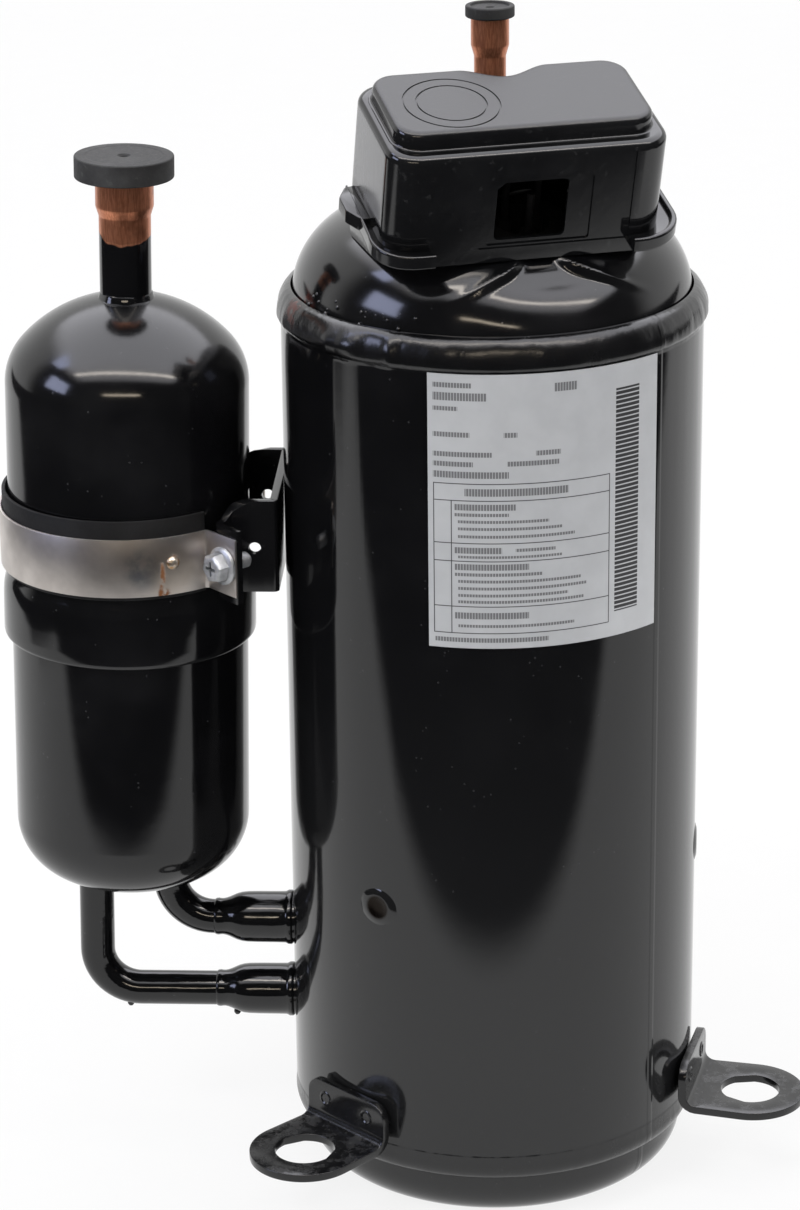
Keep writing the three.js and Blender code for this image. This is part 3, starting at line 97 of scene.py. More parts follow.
class Finish(Tree):
    """The tree of one surface finish, read in the part's own metres."""

    def __init__(self, name):
        self.material = bpy.data.materials.new(name)
        self.material.use_nodes = True
        super().__init__(self.material.node_tree)
        self.tree.nodes.clear()
        self.place = self.node("ShaderNodeTexCoord", output=3)

    def axis(self, index, place=None):
        return self.node("ShaderNodeSeparateXYZ", {0: place or self.place}, index)

    def vector(self, operation, other, output=0):
        return self.node("ShaderNodeVectorMath", {0: self.place, 1: other}, output, operation=operation)

    def stretched(self, x, y, z):
        return self.vector("MULTIPLY", (x, y, z))

    def noise(self, scale, detail=3.0, rough=0.55, place=None):
        inputs = {"Vector": place or self.place, "Scale": scale, "Detail": detail, "Roughness": rough}
        return self.node("ShaderNodeTexNoise", inputs)

    def streaks(self, x, y, z, detail=3.0):
        """Noise with its own scale along each axis."""
        return self.noise(1, detail, place=self.stretched(x, y, z))

    def cells(self, scale, place=None):
        return self.node("ShaderNodeTexVoronoi", {"Vector": place or self.place, "Scale": scale})

    def tones(self, value, low, high, dark, light):
        """From one colour at a low value to another at a high one."""
        return self.mixed(self.between(value, low, high), dark, light)

    def near(self, point, radius, edge):
        """1 within a radius of a point, falling to 0 over an edge."""
        away = self.vector("DISTANCE", tuple(c * mm for c in point), 1)
        return self.between(away, (radius + edge) * mm, radius * mm)

    def bump(self, height, depth, under=None):
        inputs = {"Height": height, "Distance": depth * mm, "Strength": 1.0}
        if under:
            inputs["Normal"] = under
        return self.node("ShaderNodeBump", inputs)

    def surface(self, colour, rough, metal=0.0, relief=None, **constants):
        inputs = {"Base Color": colour, "Roughness": rough, "Metallic": metal}
        if relief:
            inputs["Normal"] = relief
        inputs.update({key.replace("_", " "): value for key, value in constants.items()})
        shader = self.node("ShaderNodeBsdfPrincipled", inputs)
        self.node("ShaderNodeOutputMaterial", {"Surface": shader})
        return self.material


mm = 0.001


def cast_iron():
    made = Finish("cast_iron")
    grain, blotch = made.noise(900, 4), made.noise(60, 3)
    rings = made.streaks(120, 120, 2600, 2)
    colour = made.tones(blotch, 0.35, 0.7, (0.13, 0.13, 0.135), (0.25, 0.25, 0.26))
    relief = made.bump(grain * 0.6 + rings * 0.8, 0.05)
    return made.surface(colour, 0.42 + 0.25 * grain, 0.85, relief)


def finished_as_is(material, *nodes):
    """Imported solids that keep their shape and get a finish."""
    for name in nodes:
        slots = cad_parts[name].data.materials
        slots.clear()
        slots.append(material)


castings = cast_iron()
finished_as_is(castings, "main_bearing", "sub_bearing", "middle_plate", "cylinder_upper", "cylinder_lower")


# Running parts of the pump: crankshaft, rollers, vanes, reeds, stops, mufflers, bolts and
# springs. They are ground or rolled steel, bright where they run and oily everywhere.
def ground_steel():
    made = Finish("ground_steel")
    fine = made.streaks(900, 900, 5200)
    film = made.noise(45, 3)
    colour = made.tones(film, 0.35, 0.7, (0.42, 0.43, 0.45), (0.56, 0.56, 0.57))
    return made.surface(colour, 0.2 + 0.18 * fine, 1.0, made.bump(fine, 0.012))


bright_steel = ground_steel()
finished_as_is(
    bright_steel,
    "crankshaft", "roller_upper", "roller_lower", "vane_upper", "vane_lower",
    "vane_spring_upper", "vane_spring_lower", "discharge_reed_upper", "discharge_reed_lower",
    "valve_retainer_upper", "valve_retainer_lower", "muffler_upper", "muffler_lower",
    "pump_bolt_1", "pump_bolt_2", "pump_bolt_3", "pump_bolt_4", "pump_bolt_5",
    "accumulator_screen",
)


# Motor: a laminated stator pressed in the shell and a laminated rotor shrunk on the shaft.
# The sheets are half a millimetre thick, so the cores show fine level lines all round.
def laminations():
    made = Finish("laminations")
    level = made.axis(2)
    sheets = (level * (2 * pi / (0.5 * mm))).math("SINE")
    tint = made.noise(80, 3)
    colour = made.tones(tint, 0.3, 0.75, (0.2, 0.21, 0.24), (0.33, 0.33, 0.35))
    return made.surface(colour, 0.4 + 0.2 * tint, 0.9, made.bump(sheets, 0.04))


def enamelled_wire():
    made = Finish("enamelled_wire")
    strands = made.cells(1, place=made.stretched(900, 900, 60))
    varnish = made.noise(70, 3)
    colour = made.tones(varnish, 0.3, 0.7, (0.26, 0.075, 0.018), (0.42, 0.15, 0.045))
    return made.surface(colour, 0.28 + 0.2 * varnish, 0.55, made.bump(strands, 0.25))


def sheet_brass():
    made = Finish("sheet_brass")
    rolled, tarnish = made.streaks(2400, 260, 260), made.noise(90, 3)
    colour = made.tones(tarnish, 0.35, 0.7, (0.44, 0.28, 0.1), (0.63, 0.45, 0.19))
    return made.surface(colour, 0.24 + 0.2 * rolled, 1.0, made.bump(rolled, 0.01))


finished_as_is(laminations(), "stator_core", "rotor_core")
finished_as_is(enamelled_wire(), "stator_winding")
finished_as_is(sheet_brass(), "balance_weight_upper", "balance_weight_lower")


# Terminal: a steel cup set in the dome with three pins through it, sealed in glass. It is dark with
# oxide, and its colour is also painted near black as painted shade for the inside of the cover.
# It shows only with the cover off.
def oxide_steel():
    made = Finish("oxide_steel")
    film, grain = made.noise(130, 4), made.streaks(700, 700, 4000)
    # Near-black colour: dark oxide, darkened further as painted shade for the inside of the cover.
    colour = made.tones(film, 0.35, 0.7, (0.004, 0.004, 0.0045), (0.01, 0.0095, 0.009))
    return made.surface(colour, 0.75 + 0.2 * grain, 0.2, made.bump(grain, 0.015), Specular_IOR_Level=0.2)


finished_as_is(oxide_steel(), "terminal_pin_1", "terminal_pin_2", "terminal_pin_3", "terminal_body")


# Shell tube: drawn steel, 129 mm across, with a butt seam down its right side and a weld
# bead at each end that laps over the caps. All of it is dipped in gloss black enamel.
shell_radius, shell_bore, shell_low, seam_turn = 64.5, 61.3, 20.5, -38.6
plug_turns, plug_level = (-121.9, -1.9, 118.1), 105.8


def rounded(corners, steps=6, flank=0.12):
    """A closed outline with each corner (x, y, radius) rounded and its flats kept flat."""
    outline = []
    for i, (x, y, radius) in enumerate(corners):
        here = Vector((x, y))
        back = Vector(corners[i - 1][:2]) - here
        ahead = Vector(corners[(i + 1) % len(corners)][:2]) - here
        if radius <= 0 or back.length == 0 or ahead.length == 0:
            outline.append((x, y))
            continue
        half = back.angle(ahead) / 2
        reach = min(radius / tan(half), back.length * 0.48, ahead.length * 0.48)
        start, end = here + back.normalized() * reach, here + ahead.normalized() * reach
        centre = here + (back.normalized() + ahead.normalized()).normalized() * (reach / cos(half))
        first, last = start - centre, end - centre
        sweep = first.angle_signed(last)
        spare = min(flank, back.length * 0.02, ahead.length * 0.02)
        outline.append(tuple(start + back.normalized() * spare))
        for k in range(steps + 1):
            spoke = Matrix.Rotation(-sweep * k / steps, 2) @ first
            outline.append(tuple(centre + spoke))
        outline.append(tuple(end + ahead.normalized() * spare))
    return outline


def turned(outline, sides=192, wave=None):
    """Points and faces of a closed outline (radius, height) turned about the upright axis."""
    points, faces, rows = [], [], []
    for radius, height in outline:
        if radius < 1e-6:
            rows.append([len(points)] * sides)
            points.append((0.0, 0.0, height))
            continue
        rows.append(list(range(len(points), len(points) + sides)))
        for k in range(sides):
            angle = 2 * pi * k / sides
            out = radius + (wave(angle, radius, height) if wave else 0.0)
            points.append((out * cos(angle), out * sin(angle), height))
    for i, row in enumerate(rows):
        ahead = rows[(i + 1) % len(rows)]
        for k in range(sides):
            corner = [row[k], row[(k + 1) % sides], ahead[(k + 1) % sides], ahead[k]]
            corner = list(dict.fromkeys(corner))
            if len(corner) > 2:
                faces.append(corner)
    return points, faces


def stacked(rings, closed=True, ends=True):
    """Points and faces of rings of one count laid each on the next."""
    count, points = len(rings[0]), [p for ring in rings for p in ring]
    top = len(points) - count
    faces = [
        [row + k, row + (k + 1) % count, row + count + (k + 1) % count, row + count + k]
        for row in range(0, top, count) for k in range(count if closed else count - 1)
    ]
    if ends:
        faces += [list(range(count))[::-1], list(range(top, len(points)))]
    return points, faces


def flipped(faces):
    return [[face[0], *face[:0:-1]] for face in faces]


def joined(*parts):
    """Several sets of points and faces as one."""
    points, faces = [], []
    for more, skin in parts:
        faces += [[i + len(points) for i in f] for f in skin]
        points += more
    return points, faces


def cleaned(mesh, outward=True, angle=34):
    """Doubles merged, faces turned outwards, and shaded smooth between its sharp edges."""
    work = bmesh.new()
    work.from_mesh(mesh)
    bmesh.ops.remove_doubles(work, verts=work.verts, dist=1e-7)
    bmesh.ops.dissolve_degenerate(work, edges=work.edges, dist=1e-8)
    if outward:
        bmesh.ops.recalc_face_normals(work, faces=work.faces)
    work.to_mesh(mesh)
    work.free()
    smooth(mesh, angle)


def smooth(mesh, angle=34):
    mesh.shade_smooth()
    mesh.set_sharp_from_angle(angle=radians(angle))


def placed_object(name, data):
    thing = bpy.data.objects.new(name, data)
    bpy.context.scene.collection.objects.link(thing)
    return thing


def shaped(name, points, faces, material, outward=True):
    """An object at the origin from points in millimetres, its faces turned outwards."""
    mesh = bpy.data.meshes.new(name)
    mesh.from_pydata([tuple(c * mm for c in p) for p in points], [], faces)
    cleaned(mesh, outward)
    mesh.materials.append(material)
    return placed_object(name, mesh)


def settled(thing, angle=34):
    """The object's mesh with its modifiers worked into it."""
    bpy.context.view_layer.update()
    graph = bpy.context.evaluated_depsgraph_get()
    made = bpy.data.meshes.new_from_object(thing.evaluated_get(graph), depsgraph=graph)
    thing.modifiers.clear()
    thing.data = made
    smooth(made, angle)
    return thing


def bevelled(thing, width, segments):
    edge = thing.modifiers.new("edge", "BEVEL")
    edge.width, edge.segments = width * mm, segments
    edge.limit_method, edge.angle_limit = "ANGLE", radians(50)
    return settled(thing)


def cutter(points, faces):
    return shaped("cutter", points, faces, black_shell)


def cut(thing, *cutters):
    for tool in cutters:
        step = thing.modifiers.new("cut", "BOOLEAN")
        step.operation, step.solver, step.object = "DIFFERENCE", "EXACT", tool
    settled(thing)
    for tool in cutters:
        bpy.data.objects.remove(tool)
    return thing


def fitted(thing, body, slot, *nodes):
    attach(thing, body)
    if nodes:
        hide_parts(*nodes)


def gloss_enamel(name, dust=0.0, rough=0.055):
    """Black enamel: mirror-like, a little wavy, with pinholes and grains of dust under it."""
    made = Finish(name)
    wave, fine, cloud = made.noise(170, 2), made.noise(1500, 2), made.noise(26, 4)
    grains = made.cells(420)
    rare = made.between(made.noise(150, 1), 0.56, 0.66)
    speck = made.between(grains, 0.16, 0.08) * rare
    grey = made.between(cloud, 0.4, 0.75) * (0.35 + dust)
    colour = made.mixed(grey, (0.003, 0.003, 0.0034), (0.01, 0.01, 0.0107))
    colour = made.mixed(speck * 0.5, colour, (0.06, 0.06, 0.062))
    height = wave * 0.9 + fine * 0.04 + speck * 0.5
    return made, colour, rough + 0.06 * made.between(cloud, 0.45, 0.8) + 0.03 * fine, height


def rusted(made, colour, point, edge):
    """A blot of rust at a point, and the colour with it."""
    rust = made.near(point, 1.5, edge) * made.between(made.noise(330, 4), 0.42, 0.6)
    return rust, made.mixed(rust * 0.8, colour, (0.075, 0.014, 0.008))


def shell_enamel():
    made, colour, rough, height = gloss_enamel("shell_enamel")
    level = made.axis(2)
    angle = made.axis(1).math("ARCTAN2", made.axis(0))
    off_seam = (angle - radians(seam_turn)) * shell_radius
    seam = made.between(off_seam.math("ABSOLUTE"), 1.5, 0.6)
    bead = made.between(level, 0.2788, 0.28) * made.between(level, 0.2906, 0.2892)
    low_bead = made.between(level, 0.0252, 0.0242) * made.between(level, 0.016, 0.0168)
    weld = bead.math("MAXIMUM", low_bead)
    ripple = made.streaks(260, 260, 90)
    rust, colour = rusted(made, colour, (-57.5, -24.5, 287.0), 5.5)
    colour = made.mixed(made.between(level, 0.24, 0.05) * 0.6, colour, (0.013, 0.0132, 0.0135))
    craters, out = [], shell_radius + 0.4
    for turn in plug_turns:
        craters.append(made.near((out * cos(radians(turn)), out * sin(radians(turn)), plug_level), 3.2, 1.1))
    crater = craters[0] + craters[1] + craters[2]
    colour = made.mixed(crater, colour, (0.012, 0.009, 0.007))
    relief = made.bump(height, 0.011)
    relief = made.bump(seam * 0.9 + weld * ripple * 2.4, 0.1, relief)
    rough = rough + crater * 0.2 + weld * 0.16 + rust * 0.2
    return made.surface(colour, rough, crater * 0.9, relief)


def bead_wave(angle, radius, height):
    """Weld runs: small waves along the bead, and lumps where a run ends."""
    edge = exp(-(((height - 284.4) / 4.2) ** 2)) * (radius > 61.6)
    waves = 0.1 * sin(37 * angle + 1.3 * sin(5 * angle)) + 0.16 * sin(11 * angle + 2) + 0.07 * sin(71 * angle)
    lumps = 0.0
    for turn, size, width in ((-133.5, 1.5, 0.125), (-128, 0.6, 0.05), (-116.5, 1.0, 0.032), (52, 0.8, 0.06)):
        away = (angle - radians(turn) + pi) % (2 * pi) - pi
        lumps += size * exp(-((away / width) ** 4))
    return edge * (waves + lumps)


def half_oval(centre, middle, width, half, first, last, steps=14):
    turns = [first + (last - first) * k / steps for k in range(steps + 1)]
    return [(centre + width * cos(t), middle + half * sin(t)) for t in turns]


bead_reach, bead_width, bead_level = 60.9, 4.75, 282.0
bead_start = acos((shell_radius - bead_reach) / bead_width)
bead_end = acos((shell_bore - bead_reach) / bead_width)
low_reach, low_width = 61.9, 2.75
low_start = acos((shell_radius - low_reach) / low_width)
low_end = acos((shell_bore - low_reach) / low_width)
shell_outline = [
    *half_oval(low_reach, shell_low, low_width, 4.2, -low_end, low_start, 10),
    (shell_radius, 26.0), (shell_radius, 100.0), (shell_radius, 190.0), (shell_radius, 278.0),
    *half_oval(bead_reach, bead_level, bead_width, 3.2, -bead_start, 0, 6),
    *half_oval(bead_reach, bead_level, bead_width, 8.2, 0.1, bead_end, 18),
]
black_shell = shell_enamel()
shell = shaped("shell_tube", *turned(shell_outline, 256, bead_wave), black_shell)
port_levels = {"upper": 76.6, "lower": 50.9}


def circle(radius, sides):
    return [(radius * cos(2 * pi * k / sides), radius * sin(2 * pi * k / sides)) for k in range(sides)]


def rod(radius, start, end, sides=48):
    """A plain cutter between two points in millimetres."""
    start, end = Vector(start), Vector(end)
    turn = (end - start).to_track_quat("Z", "Y")
    ring = [turn @ Vector((*p, 0)) for p in circle(radius, sides)]
    return cutter(*stacked([[tuple(place + p) for p in ring] for place in (start, end)]))


cut(shell, *[rod(8.6, (-70, 0, z), (-50, 0, z)) for z in port_levels.values()])
fitted(shell, "housing", "shell_enamel", "shell_body")


# Plug welds: three filled holes round the shell, a third of a turn apart, that hold the main
# bearing. Each is a low ring of weld with a crater in its middle, under the same enamel.
class Group(Tree):
    """A Geometry Nodes tree with named inputs, worked into a mesh once."""

    def __init__(self, name, wanted):
        super().__init__(bpy.data.node_groups.new(name, "GeometryNodeTree"))
        face, self.wanted = self.tree.interface, {}
        face.new_socket("Geometry", in_out="OUTPUT", socket_type="NodeSocketGeometry")
        face.new_socket("Geometry", in_out="INPUT", socket_type="NodeSocketGeometry")
        for label, value in wanted.items():
            kind = "NodeSocketInt" if isinstance(value, int) else "NodeSocketFloat"
            socket = face.new_socket(label, in_out="INPUT", socket_type=kind)
            self.wanted[socket.identifier] = value
        self.given = [self.node("NodeGroupInput", None, k) for k in range(len(wanted) + 1)]

    def worked_into(self, thing, geometry, material, angle=34):
        geometry = self.node("GeometryNodeRealizeInstances", {0: geometry})
        geometry = self.node("GeometryNodeSetMaterial", {"Geometry": geometry, "Material": material})
        self.node("NodeGroupOutput", {0: geometry})
        step = thing.modifiers.new(self.tree.name, "NODES")
        step.node_group = self.tree
        for name, value in self.wanted.items():
            step[name] = value
        return settled(thing, angle)


def ringed(thing, copies, reach, first_turn, level, material):
    """Copies of a piece that points along +Z, set round the upright axis at a level."""
    wanted = {"Copies": copies, "Reach": reach * mm, "First turn": radians(first_turn), "Level": level * mm}
    made = Group("ring_of_copies", wanted)
    piece, count, away, turn, height = made.given
    ring = made.node("GeometryNodeMeshCircle", {"Vertices": count, "Radius": away})
    step = made.node("GeometryNodeInputIndex") * (2 * pi / count)
    lay = made.node("ShaderNodeCombineXYZ", {"Y": pi / 2, "Z": step})
    lay = made.node("FunctionNodeEulerToRotation", {0: lay})
    placed = made.node("GeometryNodeInstanceOnPoints", {"Points": ring, "Instance": piece, "Rotation": lay})
    spin = made.node("ShaderNodeCombineXYZ", {"Z": turn})
    rise = made.node("ShaderNodeCombineXYZ", {"Z": height})
    inputs = {"Geometry": placed, "Translation": rise, "Rotation": spin}
    return made.worked_into(thing, made.node("GeometryNodeTransform", inputs), material)


weld_outline = [
    (0, -2.0), (6.9, -2.0), (6.6, -0.3), (5.7, 0.15), (5.0, 0.35), (4.4, 0.55), (3.8, 0.6),
    (3.2, 0.5), (2.5, 0.3), (1.6, 0.15), (0.8, 0.12), (0, 0.1),
]
plug_welds = shaped("plug_welds", *turned(weld_outline, 40), black_shell)
ringed(plug_welds, len(plug_turns), shell_radius, plug_turns[0], plug_level, black_shell)
fitted(plug_welds, "housing", "shell_enamel")


# Bottom cap: a cup pressed from 3.4 mm steel with a flat middle, pushed up into the shell's
# lower end and welded there all round. It carries the shell's enamel.
cap_radius, cap_wall = 61.0, 3.4
bottom_outline = [
    (0, 0), (30, 0), (48.6, 0),
    *half_oval(49.0, 12.0, 12.0, 12.0, -pi / 2, 0, 12),
    (cap_radius, 32.5), (cap_radius - cap_wall, 32.5),
    *half_oval(49.0, 12.0, 8.6, 8.6, 0, -pi / 2, 8),
    (30, cap_wall), (0, cap_wall),
]
bottom_cap = shaped("bottom_cap_skin", *turned(bottom_outline), black_shell)
fitted(bottom_cap, "housing", "shell_enamel", "bottom_cap")

# Top cap: a drawn dome of the same steel. A flat seat for the terminal is pressed into it at
# a slant, and the press has creased the metal in front of the seat into a shallow scoop.
seat_turn, seat_tilt, seat_origin = radians(18.5), radians(16.5), Vector((9.33, -27.88, 313.9))
seat_across = Vector((cos(seat_turn), sin(seat_turn), 0))
seat_back = Vector((-sin(seat_turn) * cos(seat_tilt), cos(seat_turn) * cos(seat_tilt), sin(seat_tilt)))
seat_up = seat_across.cross(seat_back)


def crowned(side, knuckle, crown, level, inset, steps):
    """A cup's line from its middle to its side: a wide crown, then a tight knuckle."""
    inner = side - knuckle
    lean = asin(inner / (crown - knuckle))
    centre = level - (crown - knuckle) * cos(lean)
    line = []
    for k in range(steps + 1):
        turn = pi / 2 * k / steps
        bend, x, z = (crown, 0.0, centre) if turn < lean else (knuckle, inner, level)
        line.append((x + (bend - inset) * sin(turn), z + (bend - inset) * cos(turn)))
    return line


dome_knuckle, dome_crown, dome_level = 27.0, 135.0, 286.5
dome_line = crowned(cap_radius, dome_knuckle, dome_crown, dome_level, 0.0, 74)
dome_line += [(cap_radius, 282.0), (cap_radius, 277.0), (cap_radius, 271.9)]


def soft_low(a, b, round_off):
    """The lower of two values, with the change between them rounded off."""
    gap = max(round_off - abs(a - b), 0.0) / round_off
    return min(a, b) - gap * gap * round_off / 4


def eased(value, low, high):
    t = min(max((value - low) / (high - low), 0.0), 1.0)
    return t * t * (3 - 2 * t)


def pressed_dome(point):
    """Where the presses leave a point of the plain dome."""
    over = (point - seat_origin).dot(seat_up)
    flat = point - seat_up * (over - soft_low(over, 0.0, 1.8))
    front, scoop_reach, scoop_level = Vector((sin(seat_turn), -cos(seat_turn), 0)), 46.0, 307.0
    side = flat.dot(seat_across) - seat_origin.dot(seat_across)
    reach = flat.dot(front)
    lean = atan2(59.5 - scoop_reach, scoop_level - 292.5)
    outward = front * cos(lean) + Vector((0, 0, 1)) * sin(lean)
    beyond = (reach - scoop_reach) * cos(lean) + (flat.z - scoop_level) * sin(lean)
    left, right = 310.5 + 0.46 * (side + 2), 310.5 - 0.44 * (side - 2)
    crest = soft_low(left, right, 2.0)
    inside = eased(crest - flat.z, -0.3, 1.3) * eased(reach, 20, 30)
    hollow = exp(-((side - 3) / 15) ** 2) * exp(-((flat.z - 305.0) / 3.4) ** 2)
    width = exp(-((side - 3) / 27) ** 6)
    push = ((beyond - soft_low(beyond, 0.0, 3.0)) * 0.4 + hollow) * inside * width
    ridge = 0.6 * exp(-((crest - flat.z + 0.5) ** 2)) * width * eased(reach, 34, 44)
    return flat - outward * push + outward * ridge


def dome_cap():
    sides, rings = 288, []
    for radius, height in dome_line[1:]:
        rings.append([tuple(pressed_dome(Vector((x, y, height)))) for x, y in circle(radius, sides)])
    points, faces = stacked(rings, ends=False)
    middle = tuple(pressed_dome(Vector((0, 0, dome_line[0][1]))))
    fan = [[0, 1 + k, 1 + (k + 1) % sides] for k in range(sides)]
    fan += [[1 + i for i in face] for face in flipped(faces)]
    thing = shaped("top_cap_skin", [middle, *points], fan, black_dome, outward=False)
    wall = thing.modifiers.new("wall", "SOLIDIFY")
    wall.thickness, wall.offset = cap_wall * mm, -1
    settled(thing, 50)
    terminal_hole = rod(11.3, seat_origin - seat_up * 12, seat_origin + seat_up * 6)
    return cut(thing, terminal_hole, rod(5.06, (-0.4, -2, 290), (-0.4, -2, 350)))


def dome_enamel():
    made, colour, rough, height = gloss_enamel("dome_enamel", dust=0.25)
    _, colour = rusted(made, colour, (-55.5, -26.0, 288.0), 7.0)
    grit = made.noise(700, 2) * made.between(made.noise(60, 2), 0.45, 0.7)
    under_cover = made.near((7.5, -3.0, 318.9), 6.0, 10.0)
    return made.surface(colour, rough + 0.045 + under_cover * 0.7, 0.0, made.bump(height + grit * 0.8, 0.014))


black_dome = dome_enamel()
top_cap = dome_cap()
fitted(top_cap, "housing", "shell_enamel", "top_cap")


# Spatter: beads of weld metal that stuck round the end of the run at the left, painted over.
# They are scattered by Geometry Nodes over a small curved patch along the dome's foot.
def spattered(thing, grains, radius, seed, material):
    made = Group("spatter", {"Grains": grains, "Seed": seed, "Radius": radius * mm})
    patch, count, start, size = made.given
    inputs = {"Mesh": patch, "Density": count / 0.001, "Seed": start}
    scatter = made.node("GeometryNodeDistributePointsOnFaces", inputs)
    grain = made.node("GeometryNodeMeshIcoSphere", {"Radius": size, "Subdivisions": 2})
    scale = made.node("FunctionNodeRandomValue", {2: 0.45, 3: 1.5, "Seed": start}, 1)
    inputs = {"Points": scatter, "Instance": grain, "Scale": scale}
    return made.worked_into(thing, made.node("GeometryNodeInstanceOnPoints", inputs), material)


patch_line = [(61.05, 289.5), (60.2, 292.4), (58.6, 296.0), (56.4, 299.4)]
patch_turns = [radians(-154 + 44 * k / 13) for k in range(14)]
patch = stacked([[(r * cos(t), r * sin(t), z) for t in patch_turns] for r, z in patch_line], False, False)
spatter = spattered(shaped("weld_spatter", *patch, black_shell, outward=False), 64, 0.55, 7, black_shell)
fitted(spatter, "housing", "shell_enamel")


# Feet: three pressed angles of 2.5 mm plate, welded to the shell by two spots in each tab.
# The grommet's hole is 18.8 mm across, and the enamel on them is thin, dusty and scuffed.
foot_turns = {"foot_front_left": -132.6, "foot_right": -12.6, "foot_rear": 107.4}
foot_top, foot_wall, foot_half, foot_bend = 26.1, 2.5, 17.0, 3.2
tab_face, hole_reach, hole_radius, end_radius, tab_height = 64.8, 85.2, 9.4, 17.4, 13.2


def foot_sheet():
    """The foot's upper skin: a flat with its hole, a bend, and the tab up the shell."""
    fold = tab_face + foot_wall + foot_bend
    half = [17, 16.8, 16.2, 15.2, 13.8, 12, 9, 6, 3]
    columns = [*half, 0, *[-y for y in half[::-1]]]
    spread = hypot(hole_reach - fold, foot_half)
    touch = pi - atan2(foot_half, hole_reach - fold) - acos(end_radius / spread)
    rim = [(fold, y) for y in columns]
    for k in range(41):
        angle = -touch + 2 * touch * k / 40
        rim.append((hole_reach + end_radius * cos(angle), end_radius * sin(angle)))
    rings = []
    for share in (0.0, 0.5, 1.0):
        ring = []
        for x, y in rim:
            angle = atan2(y, x - hole_reach)
            hole_x, hole_y = hole_reach + hole_radius * cos(angle), hole_radius * sin(angle)
            ring.append((x + (hole_x - x) * share, y + (hole_y - y) * share, foot_top))
        rings.append(ring)
    rows = [[(fold, y, foot_top) for y in columns]]
    for k in range(1, 6):
        angle = pi / 2 * k / 5
        x, z = fold - foot_bend * sin(angle), foot_top + foot_bend * (1 - cos(angle))
        rows.append([(x, y, z) for y in columns])
    base = foot_top + foot_bend
    for share in (0.25, 0.5, 0.75, 1.0):
        row = []
        for y in columns:
            drop = max(abs(y) - 12.0, 0.0)
            top = foot_top + tab_height - 5 + sqrt(max(25 - drop * drop, 0.0))
            row.append((fold - foot_bend, y, base + (top - base) * share))
        rows.append(row)
    tab_points, tab_faces = stacked(rows, closed=False, ends=False)
    return joined(stacked(rings, ends=False), (tab_points, flipped(tab_faces)))


def foot_enamel():
    made, colour, rough, height = gloss_enamel("foot_enamel", dust=0.3, rough=0.14)
    grime, scuff = made.noise(210, 5, 0.65), made.streaks(500, 160, 500, 4)
    upward = made.node("ShaderNodeNewGeometry", output=1)
    facing = made.between(made.axis(2, upward), 0.6, 0.95)
    dust = made.between(grime, 0.45, 0.72) * facing
    colour = made.mixed(dust * 0.8, colour, (0.035, 0.035, 0.035))
    colour = made.mixed(made.between(scuff, 0.62, 0.75) * facing * 0.5, colour, (0.08, 0.08, 0.08))
    relief = made.bump(height + grime * 1.5, 0.03)
    return made.surface(colour, rough + dust * 0.3, 0.0, relief)


black_foot = foot_enamel()
nugget_outline = [
    (0, -1.0), (2.7, -1.0), (2.6, 0.0), (2.3, 0.25), (1.9, 0.3),
    (1.5, 0.05), (1.0, -0.2), (0.5, -0.15), (0, 0.15),
]
spot, skin = turned(nugget_outline, 28)
nuggets = joined(*[
    ([(tab_face + foot_wall + z, side + x, foot_top + 7.4 + y) for x, y, z in spot], skin)
    for side in (-9.2, 9.2)
])
for name, turn in foot_turns.items():
    foot = shaped(name + "_skin", *foot_sheet(), black_foot, outward=False)
    wall = foot.modifiers.new("wall", "SOLIDIFY")
    wall.thickness, wall.offset, wall.use_even_offset = foot_wall * mm, -1, True
    bevelled(foot, 0.55, 3)
    spots = shaped(name + "_welds", *nuggets, black_foot)
    for thing in (foot, spots):
        thing.data.transform(Matrix.Rotation(radians(turn), 4, "Z"))
        thing.data.update()
    fitted(foot, "housing", "foot_enamel", name)
    fitted(spots, "housing", "foot_enamel")


# Suction line: two steel ports brazed in the shell, swaged down on two 11.1 mm tubes that
# bend up into the accumulator. Geometry Nodes sweep a ring of changing girth along a path.
def piped(name, stations, sides, material):
    """A tube from stations (x, y, z, girth) in millimetres, with closed ends."""
    mesh = bpy.data.meshes.new(name)
    points = [tuple(c * mm for c in s[:3]) for s in stations]
    mesh.from_pydata(points, [(k, k + 1) for k in range(len(points) - 1)], [])
    sizes = mesh.attributes.new("girth", "FLOAT", "POINT")
    for k, station in enumerate(stations):
        sizes.data[k].value = station[3] * mm
    made = Group("swept_tube", {"Sides": sides})
    girth = made.node("GeometryNodeInputNamedAttribute", {"Name": "girth"}, data_type="FLOAT")
    line = made.node("GeometryNodeMeshToCurve", {"Mesh": made.given[0]})
    line = made.node("GeometryNodeSetCurveRadius", {"Curve": line, "Radius": girth})
    ring = made.node("GeometryNodeCurvePrimitiveCircle", {"Resolution": made.given[1], "Radius": 1.0})
    swept = made.node("GeometryNodeCurveToMesh", {"Curve": line, "Profile Curve": ring, "Fill Caps": True})
    if "Scale" in swept.socket.node.inputs:
        made.tree.links.new(girth.socket, swept.socket.node.inputs["Scale"])
    thing = made.worked_into(placed_object(name, mesh), swept, material, 40)
    cleaned(thing.data, angle=40)
    return thing


def pipe_enamel():
    made, colour, rough, height = gloss_enamel("pipe_enamel")
    sag = made.streaks(70, 240, 240)
    return made.surface(colour, rough + 0.02, 0.0, made.bump(height * 0.5 + sag * 1.6, 0.05))


black_pipe = pipe_enamel()
vessel_x, clamp_middle, vessel_lean = -113.5, 210.35, radians(1.2)
lanes = {"upper": 11.7, "lower": -12.3}
pipe_radius, bend_radius, pipe_top = 5.56, 14.0, 240


def lane_x(lane, height):
    """Where a tube in its lane stands at a height, with the vessel's lean."""
    return vessel_x + (height - clamp_middle) * tan(vessel_lean) + lane


